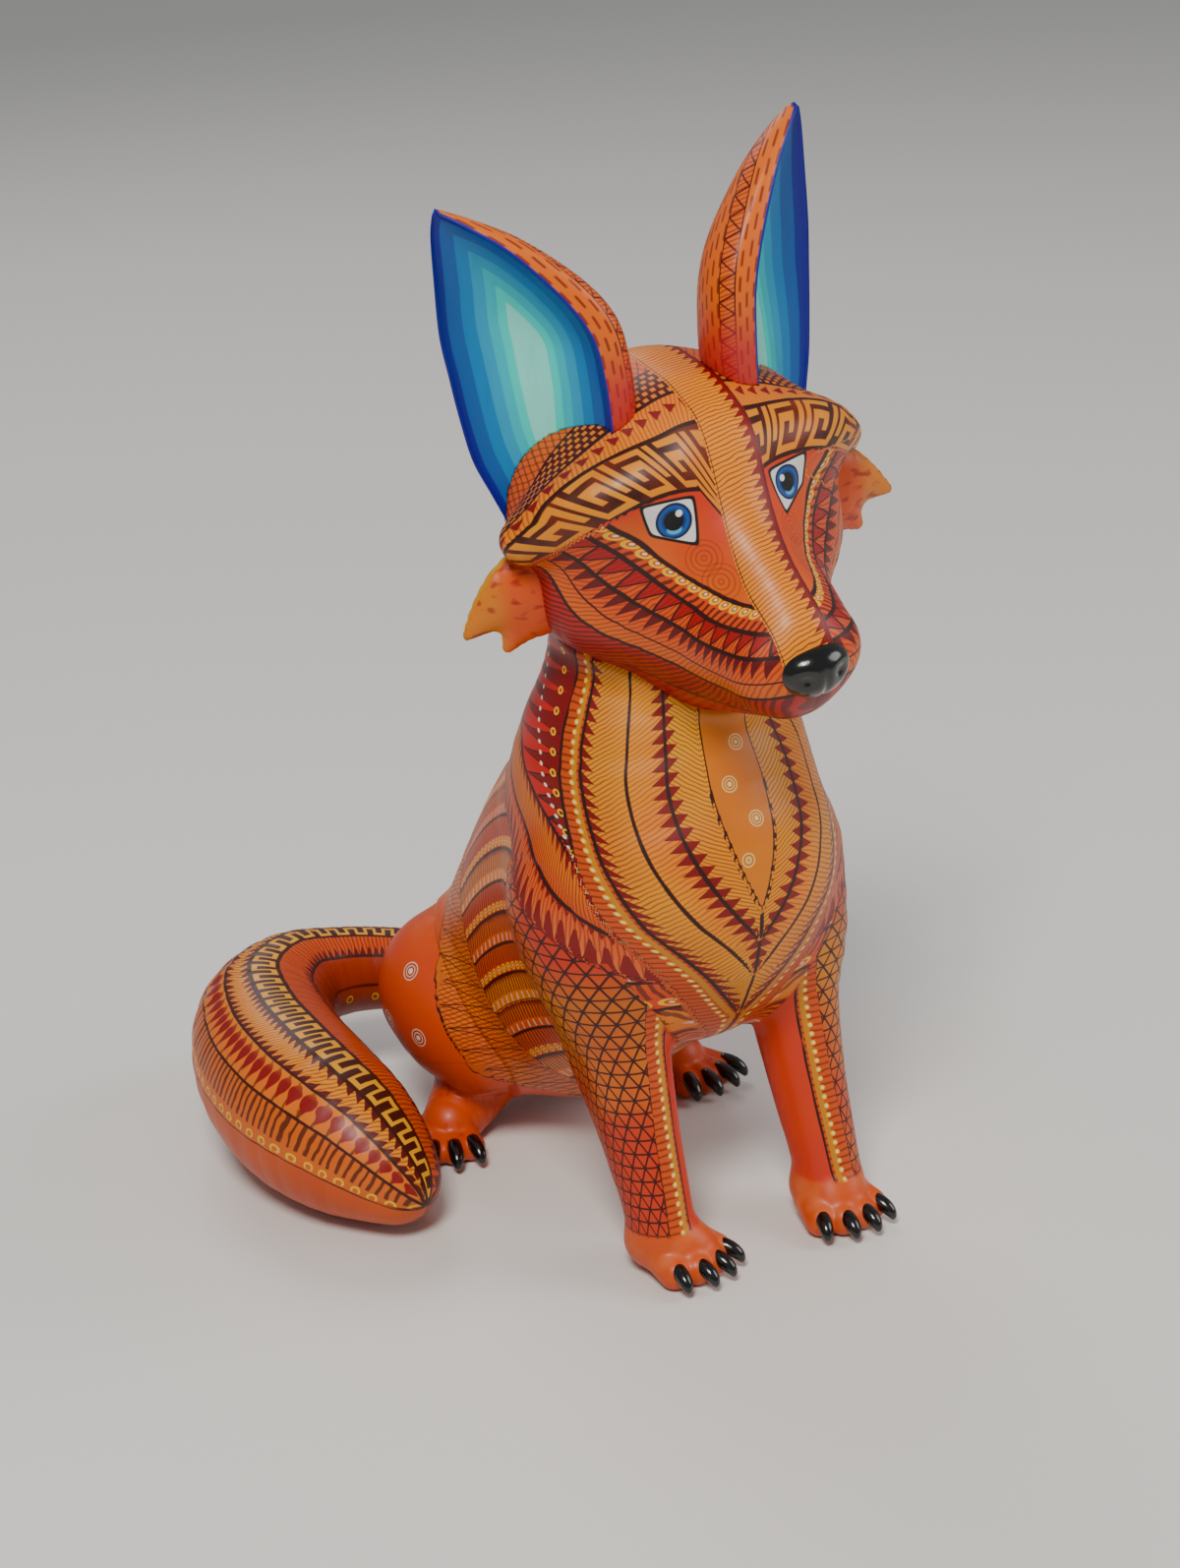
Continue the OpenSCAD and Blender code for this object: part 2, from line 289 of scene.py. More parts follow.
def spineGrid(line, up, rows, cols, level=False):
    # rays from a centre line: they lean from backwards at its start, through square to it, to forwards at its end
    path = curveThrough(line, 12)
    gaps = np.linalg.norm(np.diff(path, axis=0), axis=1)
    along = np.concatenate([[0], np.cumsum(gaps)])
    capRows = max(int(rows * 0.16), 6)
    u = np.concatenate([np.zeros(capRows), np.linspace(0, 1, rows - 2 * capRows), np.ones(capRows)])
    lean = np.concatenate([np.linspace(-90, 0, capRows, endpoint=False), np.zeros(rows - 2 * capRows),
                           np.linspace(90, 0, capRows, endpoint=False)[::-1]])
    s = u * along[-1]
    centre = np.stack([np.interp(s, along, path[:, i]) for i in range(3)], 1)
    ahead = np.stack([np.interp(np.clip(s + 4, 0, along[-1]), along, path[:, i]) for i in range(3)], 1)
    behind = np.stack([np.interp(np.clip(s - 4, 0, along[-1]), along, path[:, i]) for i in range(3)], 1)
    way = ahead - behind
    if level:
        way = np.tile(np.array([0.0, 0.0, -1.0]), (rows, 1))
    way /= np.linalg.norm(way, axis=1)[:, None]
    side = np.cross(way, np.array(up, float))
    side /= np.linalg.norm(side, axis=1)[:, None]
    top = np.cross(side, way)
    a = np.linspace(0, 2 * math.pi, cols, endpoint=False)
    lean = np.radians(lean)[:, None, None]
    around = np.cos(a)[None, :, None] * top[:, None] + np.sin(a)[None, :, None] * side[:, None]
    ways = around * np.cos(lean) + way[:, None] * np.sin(lean)
    origins = np.repeat(centre[:, None], cols, 1)
    return origins.reshape(-1, 3), ways.reshape(-1, 3)


def castPiece(name, line, up, rows, cols, field, level=False):
    # closed skin around a centre line: a spine grid, cast to the field, with one point at each pole
    rows, cols = int(rows * density), int(cols * density)
    origins, ways = spineGrid(line, up, rows, cols, level)
    points = castSurface(origins, ways, field)
    points = points[cols - 1:]                       # the first row is one point
    firstCount = rows * cols - (cols - 1)
    points[:, 2] = np.maximum(points[:, 2], 0.0)     # soles and the tail's underside lie flat
    body = points[1:firstCount]
    last = body[-cols:]
    body, tip = body[:-cols], last.mean(0)[None]
    allPoints = np.vstack([points[:1], body, tip])
    ringRows = rows - 2
    quads = gridFaces(ringRows, cols) + 1
    c = np.arange(cols)
    n = (c + 1) % cols
    start = np.stack([np.zeros(cols, int), 1 + n, 1 + c], 1)
    base = 1 + (ringRows - 1) * cols
    end = np.stack([base + c, base + n, np.full(cols, len(allPoints) - 1)], 1)
    piece = makeMesh(name, toRow(allPoints), quads, np.vstack([start, end]))
    print(name, len(allPoints), "points")
    return piece, allPoints


pieces = {}     # name: (object, its points in fox millimetres)

torso = {"line": [[0, 62, 226], [0, 61, 190], [0, 60, 160], [0, 62, 130], [0, 74, 105], [0, 100, 80],
                  [0, 126, 58], [0, 146, 44]],
         "rows": 270, "cols": 320}
pieces["torsoSkin"] = castPiece("torsoSkin", torso["line"], (0, 1, 0), torso["rows"], torso["cols"],
                                pieceField("torso", ["head", "foreleg", "hindLeg", "tail"]), level=True)

head = {"line": [[0, 66, 22], [0, 50, 18], [0, 34, 10], [0, 16, 0], [0, 0, -8], [0, -14, -14]],
        "rows": 250, "cols": 420}
headLine = headToFox(np.array(head["line"], float))
headUp = headTurn @ np.array([0.0, 0.0, 1.0])
pieces["headSkin"] = castPiece("headSkin", headLine, headUp, head["rows"], head["cols"],
                               pieceField("head", ["torso"], soft=6.0))

foreleg = {"line": [[35, 52, 116], [36, 48, 96], [35, 42, 76], [33, 33, 50], [33, 23, 28], [33, 17, 14],
                    [33, 11, 8]],
           "rows": 190, "cols": 140}
hindLeg = {"line": [[26, 150, 50], [30, 148, 36], [34, 143, 20], [42, 133, 11], [49, 122, 7]],
           "rows": 170, "cols": 170}
for sideName, sign in (("right", -1), ("left", 1)):
    flip = np.array([sign, 1.0, 1.0])
    pieces["forelegSkin_" + sideName] = castPiece(
        "forelegSkin_" + sideName, np.array(foreleg["line"], float) * flip, (0, 1, 0),
        foreleg["rows"], foreleg["cols"],
        pieceField("forelegTurned" if sign < 0 else "foreleg", ["torso"], soft=8.0))
    pieces["hindLegSkin_" + sideName] = castPiece(
        "hindLegSkin_" + sideName, np.array(hindLeg["line"], float) * flip, (0, 0, 1),
        hindLeg["rows"], hindLeg["cols"],
        pieceField("hindLegTurned" if sign < 0 else "hindLeg",
                   ["torso", "tail"] if sign < 0 else ["torso"], soft=7.0))

tail = {"rows": 330, "cols": 190}
tailLine = [ball[:3] for ball in bodyShape["tail"]["plume"]["balls"]]
pieces["tailSkin"] = castPiece("tailSkin", tailLine, (0, 0, 1), tail["rows"], tail["cols"],
                               pieceField("tail", ["torso", "hindLeg"], soft=3.0))

# ears: the outline is given on the ear's open front, x' from outer rim to inner rim at each height
ear = {
    "heights": [-18, -6, 6, 20, 34, 48, 66, 78, 84],
    "outer": [-19, -20.5, -21.8, -20.5, -18.4, -16, -10.5, -6.5, -3.6],
    "inner": [17, 20, 23.5, 26.6, 28, 24.2, 14.6, 4.5, -1.6],
    "backDepth": [17, 18, 19, 19.5, 19, 17.5, 12.5, 7.5, 3.5],
    "scoopDepth": [4, 5.5, 7.5, 9.6, 11.6, 11, 7, 3.2, 0.8],
    "lipDegrees": 42.0,
    "lipForward": 6.0,
    "rows": 150,
    "cols": 96,
}


def earSection(height, key):
    # smooth curve through the listed values, read at each height
    known = curveThrough(np.column_stack([ear["heights"], ear[key]]), 12)
    return np.interp(height, known[:, 0], known[:, 1])


def earSurface(v, height):
    # v from 0 to 1 runs over the back, from the inner rim to the outer rim, and from 1 to 2 across the scoop:
    # back: x = middle + A cos b, y = B sin b + lip (1 + cos b) / 2; scoop: y = depth (1 - a^2)^0.7
    outer, inner = earSection(height, "outer"), earSection(height, "inner")
    lip = math.radians(ear["lipDegrees"])
    wide = (inner - outer) / (1 + math.cos(lip))
    scale = np.clip(wide / 24.0, 0.1, 1.1)
    forward = ear["lipForward"] * scale
    b = -lip + (math.pi + lip) * np.clip(v, 0, 1)
    deep = earSection(height, "backDepth")
    lipDeep = forward * (1 + math.cos(lip)) / (2 * math.sin(lip))
    sinB = np.where(np.sin(b) < 0, np.sin(b) * lipDeep, np.sin(b) * deep)
    xBack = outer + wide + wide * np.cos(b)
    yBack = sinB + forward * (1 + np.cos(b)) / 2
    a = 1 - 2 * np.clip(v - 1, 0, 1)
    xScoop = (outer + inner) / 2 - a * (inner - outer) / 2
    yScoop = earSection(height, "scoopDepth") * np.maximum(1 - a ** 2, 0) ** 0.7
    back = v <= 1
    return np.where(back, xBack, xScoop), np.where(back, yBack, yScoop)


def earToFox(p, sign):
    # the ear's own frame is given for the left ear with x' turned so that the inner rim is positive
    q = p * np.array([-1.0, 1.0, 1.0])
    q = q @ earTurnLeft.T + np.array(fox["earBase"])
    return headToFox(q * np.array([sign, 1.0, 1.0]))


def makeEar(name, sign):
    rows, cols = int(ear["rows"] * density), int(ear["cols"] * density) * 2
    v = np.concatenate([np.linspace(start, start + 1, cols // 2, endpoint=False) for start in (0, 1)])
    low, high = ear["heights"][0], ear["heights"][-1]
    trial = np.linspace(low, high, 160)
    vv, hh = np.meshgrid(v, trial)
    x, y = earSurface(vv.ravel(), hh.ravel())
    p = earToFox(np.column_stack([x, y, hh.ravel()]), sign)
    inside = (headDistance(p) < 0.3).reshape(hh.shape)
    lowest = np.where(inside.any(0), trial[len(trial) - 1 - np.argmax(inside[::-1], 0)], low)
    s = np.linspace(0, 1, rows) ** 0.96
    height = lowest[None, :] + (high - lowest[None, :]) * s[:, None]
    vv = np.tile(v, (rows, 1))
    x, y = earSurface(vv.ravel(), height.ravel())
    local = np.column_stack([x, y, height.ravel()])
    tip = local[-cols:].mean(0) + np.array([0, 0, 1.6])
    local = np.vstack([local, tip])
    quads = gridFaces(rows, cols)
    half = cols // 2
    k = np.arange(half)
    backIndex = k
    scoopIndex = (cols - k) % cols
    cap = np.stack([backIndex[:-1], backIndex[1:], scoopIndex[1:], scoopIndex[:-1]], 1)[1:]
    first = np.array([[0, 1, cols - 1]])
    last = np.array([[half - 1, half, half + 1]])
    c = np.arange(cols)
    fan = np.stack([(rows - 1) * cols + c, (rows - 1) * cols + (c + 1) % cols, np.full(cols, rows * cols)], 1)
    tris = np.vstack([fan, first[:, ::-1], last[:, ::-1]])
    quads = np.vstack([quads, cap[:, ::-1]])
    if sign > 0:
        quads, tris = quads[:, ::-1], tris[:, ::-1]
    piece = makeMesh(name, toRow(earToFox(local, sign)), quads, tris)
    return piece, local


for sideName, sign in (("right", -1), ("left", 1)):
    pieces["earSkin_" + sideName] = makeEar("earSkin_" + sideName, sign)


# cheek tufts: flat two-pointed wings, cast from a middle point of the wing
def makeTuft(name, sign):
    rows, cols = int(90 * density), int(220 * density)
    polar = np.linspace(0, math.pi, rows)[:, None]
    around = np.linspace(0, 2 * math.pi, cols, endpoint=False)[None, :]
    ways = np.stack([np.sin(polar) * np.cos(around), np.cos(polar) + 0 * around, np.sin(polar) * np.sin(around)],
                    -1).reshape(-1, 3)
    origins = np.tile(np.array([54.0, 48.0, -1.5]), (len(ways), 1))

    def field(p):
        q = np.column_stack([p[:, 0], 48 + (p[:, 1] - 48) * 2.1, p[:, 2]])
        return groupDistance(q, tuftShape, 5.0) * 0.6
    points = castSurface(origins, ways, field, reach=40.0, rounds=34)
    points = points[cols - 1:]
    body = points[1:-cols]
    allPoints = np.vstack([points[:1], body, points[-1:]])
    quads = gridFaces(rows - 2, cols) + 1
    c = np.arange(cols)
    n = (c + 1) % cols
    start = np.stack([np.zeros(cols, int), 1 + n, 1 + c], 1)
    base = 1 + (rows - 3) * cols
    end = np.stack([base + c, base + n, np.full(cols, len(allPoints) - 1)], 1)
    tris = np.vstack([start, end])
    if sign < 0:
        quads, tris = quads[:, ::-1], tris[:, ::-1]
    local = allPoints
    piece = makeMesh(name, toRow(headToFox(local * np.array([sign, 1.0, 1.0]))), quads, tris)
    return piece, local


for sideName, sign in (("right", -1), ("left", 1)):
    pieces["tuftSkin_" + sideName] = makeTuft("tuftSkin_" + sideName, sign)

print("pieces made")

# band lines: where one painted band ends and the next begins. Each line is a short formula that gives, for
# every point, the distance past it (D, mm) and the length along it (t, mm). |x| is used for the body and the
# brow, so both halves are painted alike; the stripe and the tail aren't mirrored

# chest: line k stands |x| = wide (1 - (1 - u)^1.6) away from the middle, u = (z - foot) / (full - foot),
# so each is a pointed loop that opens upwards; x is measured round the chest
chest = {"axisY": 60.0, "radius": 45.0, "power": 1.6, "wide": [10, 23, 36, 52, 60],
         "foot": [122, 112, 99, 82, 64], "full": [165, 165, 168, 175, 178]}
# the strip goes on down a foreleg's front
legStrip = {"inner": 24.0, "outer": 32.5, "top": 100.0, "slope": 0.045}
# shoulder lines are z = height + slope (y - frontY), and ribs are z = top - sag (y - startY)^2
shoulder = {"frontY": 25.0, "height": [131, 119, 106], "slope": [0.8, 0.72, 0.68]}
ribs = {"top": 146.0, "startY": 58.0, "sag": 0.0085, "pitch": 11.2, "count": 7}
haunch = {"y": [92, 108], "z": [34, 24], "slope": [0.477, 0.6]}                      # y' = y + slope (z' - z)


def lengthDown(z, offset):
    # length of the curve (offset(h), h) from the neck down to height z
    heights = np.linspace(240, -10, 500)
    steps = np.hypot(np.diff(heights), np.diff(offset(heights)))
    return np.interp(-z, -heights, np.concatenate([[0], np.cumsum(steps)]))


def chestDepths(p, onLeg):
    # the way round the chest is radius * angle about its axis, and plain |x| further down
    x, y, z = np.abs(p[:, 0]), p[:, 1], p[:, 2]
    high = np.clip((z - 100) / 20, 0, 1)
    across = high * chest["radius"] * np.arctan2(x, chest["axisY"] - y) + (1 - high) * x
    lines = []
    for k, (wide, foot, full) in enumerate(zip(chest["wide"], chest["foot"], chest["full"])):
        def offset(h, wide=wide, foot=foot, full=full, k=k):
            u = np.clip((h - foot) / (full - foot), 0, 1)
            found = wide * (1 - (1 - u) ** chest["power"])
            if onLeg and k > 2:
                start = legStrip["inner"] if k == 3 else legStrip["outer"]
                found = np.maximum(found, start + legStrip["slope"] * (legStrip["top"] - h))
            return found
        slope = (offset(z + 1) - offset(z - 1)) / 2
        lines.append(((across - offset(z)) / np.sqrt(1 + slope ** 2), lengthDown(z, offset)))
    return lines


def shoulderDepths(p):
    # straight lines seen from the side, one below the other
    lines = []
    for height, slope in zip(shoulder["height"], shoulder["slope"]):
        stretch = math.sqrt(1 + slope ** 2)
        past = (height + slope * (p[:, 1] - shoulder["frontY"]) - p[:, 2]) / stretch
        lines.append((past, (120 - p[:, 1]) * stretch))
    return lines


def haunchDepths(p):
    lines = []
    for y, z, slope in zip(haunch["y"], haunch["z"], haunch["slope"]):
        stretch = math.sqrt(1 + slope ** 2)
        lines.append(((p[:, 1] - y - slope * (p[:, 2] - z)) / stretch, p[:, 2] * stretch))
    return lines


def ribField(p):
    # parallel ribs pitch apart, counted down the side and round again over the back
    drop = ribs["top"] - ribs["sag"] * np.maximum(p[:, 1] - ribs["startY"], 0) ** 2 - p[:, 2]
    place = np.mod(drop / ribs["pitch"] + 1, ribs["count"])
    return place, np.full(len(p), ribs["pitch"]), p[:, 1] * 1.2


# head: the crown's lines lie across it at y = start + lean x, and swing back by drop below each knee height;
# the brow's lower edge is z = top - bow (x - middle)^2 and dives beside the nose
crown = {"start": [42, 27.5, 15], "lean": [0.0, 0.14, 0.27], "knee": [36, 33, 30], "drop": [0.6, 0.6, 0.75],
         "radius": 50.0}
brow = {"top": 33.0, "bow": 0.012, "middle": 18.0, "inner": 11.0, "dive": 2.4}
# cheek: nested loops seen from the side, (dy / back)^2.6 + (dz / down)^2.6 = 1 from a centre over the nose
cheek = {"centre": (-30.0, 33.0), "power": 2.6, "back": [46, 50, 57, 68, 92], "down": [33, 39, 45, 58, 69]}
# the stripe's middle swings over as it comes down the face
stripe = {"half": 8.5, "middle": 5.0, "swing": 7.0, "from": 20.0, "over": 35.0}


def crownDepths(p):
    x, y, z = np.abs(p[:, 0]), p[:, 1], p[:, 2]
    along = -crown["radius"] * np.arctan2(x, z - 10)
    lines = []
    for start, lean, knee, drop in zip(crown["start"], crown["lean"], crown["knee"], crown["drop"]):
        lines.append((start + lean * x + drop * np.maximum(knee - z, 0) - y, along))
    edge = brow["top"] - brow["bow"] * (x - brow["middle"]) ** 2
    edge = np.where(x < brow["inner"], brow["top"] - brow["dive"] * (brow["inner"] - x), edge)
    return lines + [(edge - z, along)]


def cheekDepths(p):
    # distance past a loop along the ray from the centre: r (1 - 1 / rho), rho = 1 on the loop
    dy = np.maximum(p[:, 1] - cheek["centre"][0], 0.01)
    dz = np.maximum(cheek["centre"][1] - p[:, 2], 0.01)
    r = np.hypot(dy, dz)
    turn = np.arctan2(dz, dy)
    lines = []
    for back, down in zip(cheek["back"], cheek["down"]):
        rho = ((dy / back) ** cheek["power"] + (dz / down) ** cheek["power"]) ** (1 / cheek["power"])
        lines.append((r * (1 - 1 / rho), turn * (back + down) / 2))
    return lines


def stripeDepths(p):
    # two edges half away from the stripe's middle, which swings over with smoothstep as y falls
    s = np.clip((stripe["from"] - p[:, 1]) / stripe["over"], 0, 1)
    middle = stripe["middle"] - stripe["swing"] * s * s * (3 - 2 * s)
    along = (60 - p[:, 1]) * 0.8 + (62 - p[:, 2]) * 0.6
    return [(p[:, 0] - middle + stripe["half"], along), (p[:, 0] - middle - stripe["half"], along)]


tailBands = {"edges": [85, 53, 29, 8, -17, -50, -90]}   # degrees round the tail, from its top outwards


def tailDepths(p):
    # angle round the tail's own middle line, and length along that line
    spine = curveThrough(bodyShape["tail"]["plume"]["balls"], 12)[:, :3]
    steps = np.linalg.norm(np.diff(spine, axis=0), axis=1)
    length = np.concatenate([[0], np.cumsum(steps)])
    way = np.gradient(spine, axis=0)
    way /= np.linalg.norm(way, axis=1)[:, None]
    square = (p ** 2).sum(1)[:, None] + (spine ** 2).sum(1)[None, :] - 2 * p @ spine.T
    pick = square.argmin(1)
    rel = p - spine[pick]
    ahead = (rel * way[pick]).sum(1)
    rel = rel - ahead[:, None] * way[pick]
    top = np.array([0, 0, 1.0]) - way[pick] * way[pick][:, 2:]
    top /= np.linalg.norm(top, axis=1)[:, None]
    side = np.cross(way[pick], top)
    turn = np.arctan2((rel * side).sum(1), (rel * top).sum(1))
    radius = np.linalg.norm(rel, axis=1)
    return [((math.radians(edge) - turn) * radius, length[pick] + ahead) for edge in tailBands["edges"]]


edgeReach = 100.0   # width given to the open bands before the first line and after the last, mm


def bandField(families):
    # band number and share across it, width of the band and length along it.
    # between lines k and k+1: share = D_k / (D_k - D_k+1), width = D_k - D_k+1, along = t_k
    size = len(families[0][0][0])
    place, width, length = np.zeros(size), np.full(size, edgeReach), np.zeros(size)
    before = None
    active = np.ones(size, bool)
    first = 0
    for family in families:
        d = np.array([line[0] for line in family])
        t = np.array([line[1] for line in family])
        count = len(family)
        band = np.zeros(size, int)
        for k in range(count):
            band = np.where((band == k) & (d[k] > 0), k + 1, band)
        for k in range(count + 1):
            here = active & (band == k)
            wide = np.full(size, edgeReach)
            if k == count:
                share, run = np.clip(d[-1] / edgeReach, 0.0005, 0.999), t[-1]
            elif k == 0 and before is None:
                share, run = 1 - np.clip(-d[0] / edgeReach, 0, 0.999), t[0]
            else:
                start, run = before if k == 0 else (d[k - 1], t[k - 1])
                lower, upper = np.maximum(start, 0.01), np.maximum(-d[k], 0.01)
                share, wide = lower / (lower + upper), lower + upper
            place = np.where(here, first + k + np.clip(share, 0.0005, 0.9995), place)
            width = np.where(here, wide, width)
            length = np.where(here, run, length)
        active = active & (band == count)
        before = (d[-1], t[-1])
        first += count
    return place, width, length


def meshNormals(piece):
    normals = np.zeros(len(piece.data.vertices) * 3, np.float32)
    piece.data.vertices.foreach_get("normal", normals)
    return normals.reshape(-1, 3).astype(float)


def addAttribute(piece, name, values):
    attribute = piece.data.attributes.new(name, "FLOAT", "POINT")
    attribute.data.foreach_set("value", np.ascontiguousarray(values, np.float32))


def addBands(piece, field, prefix="band"):
    for name, values in zip(("Place", "Width", "Along"), field):
        addAttribute(piece, prefix + name, values)


piece, points = pieces["torsoSkin"]
place, width, along = bandField([chestDepths(points, False), shoulderDepths(points)])
chestEnd = 80.0   # mm, no chest band reaches further back than this
place = np.where((points[:, 1] > chestEnd) & (place < 5), 8.5, place)
addBands(piece, (place, width, along))
addBands(piece, ribField(points), "rib")
addBands(piece, bandField([haunchDepths(points)]), "haunch")
legAxis = np.array(foreleg["line"][::-1], float)
legRadius = 17.0   # mm, turns the angle round a foreleg into a length
for sideName in ("right", "left"):
    piece, points = pieces["forelegSkin_" + sideName]
    folded = mirrored(points)
    middle = [np.interp(folded[:, 2], legAxis[:, 2], legAxis[:, i]) for i in (0, 1)]
    place, width, along = bandField([chestDepths(points, True), shoulderDepths(points)])
    # behind a leg's middle the strip is gone: its inner half is plain and its outer half is lattice
    behind = (folded[:, 1] > middle[1] + 3) & (folded[:, 2] < legStrip["top"])
    place = np.where(behind, np.where(folded[:, 0] < middle[0], 3.5, 8.5), place)
    addBands(piece, (place, width, along))
    around = np.arctan2(folded[:, 0] - middle[0], middle[1] - folded[:, 1])
    addAttribute(piece, "legAround", around * legRadius)
    piece, points = pieces["hindLegSkin_" + sideName]
    addBands(piece, bandField([haunchDepths(points)]), "haunch")

piece, points = pieces["headSkin"]
inHead = foxToHead(points)
folded = mirrored(inHead)
addBands(piece, bandField([crownDepths(inHead), cheekDepths(inHead)]))
place, width, along = bandField([stripeDepths(inHead)])
onTop = (meshNormals(piece) @ headTurn)[:, 2] > -0.2
addBands(piece, (np.where(onTop, place, 0), width, along), "stripe")

# the eye's own plane: across runs from the nose outwards, up leans back with the face
eye = {"centre": (20.0, 9.0, 25.5), "across": (0.93, 0.34, 0.1), "up": (-0.05, 0.12, 0.99)}
fromEye = folded - np.array(eye["centre"])
addAttribute(piece, "eyeAcross", fromEye @ (np.array(eye["across"]) / np.linalg.norm(eye["across"])))
addAttribute(piece, "eyeUp", fromEye @ (np.array(eye["up"]) / np.linalg.norm(eye["up"])))
addAttribute(piece, "headUp", folded[:, 2])

piece, points = pieces["tailSkin"]
addBands(piece, bandField([tailDepths(points)]))
print("bands laid out")


# ears: height up the ear, run across its back from the inner rim, distance in from the rim and the painted strip
def earMarks(piece, local):
    cols = int(ear["cols"] * density) * 2
    rows = (len(local) - 1) // cols
    grid = local[:rows * cols].reshape(rows, cols, 3)
    half = cols // 2
    steps = np.linalg.norm(np.diff(grid[:, :half + 1], axis=1), axis=2)
    run = np.zeros((rows, cols))
    run[:, 1:half + 1] = np.cumsum(steps, 1)
    scoop = np.zeros((rows, cols))
    scoop[:, half + 1:] = 1
    fine = np.linspace(ear["heights"][0], ear["heights"][-1], 140)
    rim = np.vstack([np.column_stack([earSection(fine, key), fine]) for key in ("outer", "inner")])
    flat = local[:, [0, 2]]
    gap = np.sqrt(((flat[:, None, :] - rim[None]) ** 2).sum(2)).min(1)
    rimRow = np.linalg.norm(grid - grid[:, :1], axis=2)
    outerRow = np.linalg.norm(grid - grid[:, half:half + 1], axis=2)
    backGap = np.minimum(rimRow, outerRow)
    distance = np.where(scoop.ravel() > 0, gap[:-1], backGap.ravel())
    strip = 1 + (run.ravel() - earStripPlace["start"]) / earStripPlace["width"]
    for name, values in (("earHeight", local[:, 2]), ("earRun", np.append(run.ravel(), 0)),
                         ("earScoop", np.append(scoop.ravel(), 0)), ("earRim", np.append(distance, 0)),
                         ("earStrip", np.append(np.where(scoop.ravel() > 0, 0, strip), 0))):
        addAttribute(piece, name, values)


earStripPlace = {"start": 8.0, "width": 6.0}   # mm from the inner rim
for sideName in ("right", "left"):
    earMarks(*pieces["earSkin_" + sideName])
    piece, local = pieces["tuftSkin_" + sideName]
    inHead = meshNormals(piece) @ headTurn
    addAttribute(piece, "tuftOut", local[:, 0])
    addAttribute(piece, "tuftRim", np.abs(inHead[:, 1]) * 4)


# nose: a broad flattened ball, r = 1 - dents; each nostril is a round dent and a groove runs down the front
nose = {"centre": (0.0, -26.0, -19.0), "half": (12.0, 9.4, 9.1), "nostril": (0.52, -0.80, -0.12), "rows": 90,
        "cols": 150}


def makeNose():
    rows, cols = int(nose["rows"] * density), int(nose["cols"] * density)
    polar = np.linspace(0, math.pi, rows)[1:-1, None]
    around = np.linspace(0, 2 * math.pi, cols, endpoint=False)[None, :]
    ways = np.stack([np.sin(polar) * np.cos(around), np.sin(polar) * np.sin(around), np.cos(polar) + 0 * around],
                    -1).reshape(-1, 3)
    ways = np.vstack([[[0, 0, 1]], ways, [[0, 0, -1]]])
    spot = np.array(nose["nostril"]) / np.linalg.norm(nose["nostril"])
    near = np.linalg.norm(np.column_stack([np.abs(ways[:, 0]), ways[:, 1:]]) - spot, axis=1)
    r = 1 - 0.16 * np.exp(-(near / 0.24) ** 2)
    front = np.clip(-ways[:, 1], 0, 1) * np.clip(0.3 - ways[:, 2], 0, 1)
    r -= 0.09 * front * np.exp(-(ways[:, 0] / 0.1) ** 2)
    flatTop = np.where(ways[:, 2] > 0, 1 - 0.16 * ways[:, 2] ** 2, 1.0)
    squash = np.column_stack([np.ones(len(r)), np.ones(len(r)), flatTop])
    local = ways * r[:, None] * np.array(nose["half"]) * squash
    local[:, 0] *= 1 - 0.10 * np.clip(-local[:, 2] / nose["half"][2], 0, 1)
    count = len(ways)
    quads = gridFaces(rows - 2, cols) + 1
    c = np.arange(cols)
    n = (c + 1) % cols
    base = 1 + (rows - 3) * cols
    tris = np.vstack([np.stack([np.zeros(cols, int), 1 + n, 1 + c], 1),
                      np.stack([base + c, base + n, np.full(cols, count - 1)], 1)])
    return makeMesh("noseSkin", toRow(headToFox(local + np.array(nose["centre"]))), quads[:, ::-1], tris[:, ::-1])


# claws: a bent horn on every toe. Along t its middle goes ahead by reach sin(90 t) and down by drop (1 - cos(90 t)),
# and its radius is base (1 - t^2.4)^0.6
claw = {"base": 2.75, "reach": 8.6, "drop": 5.4, "height": 7.4, "rows": 22, "cols": 24}


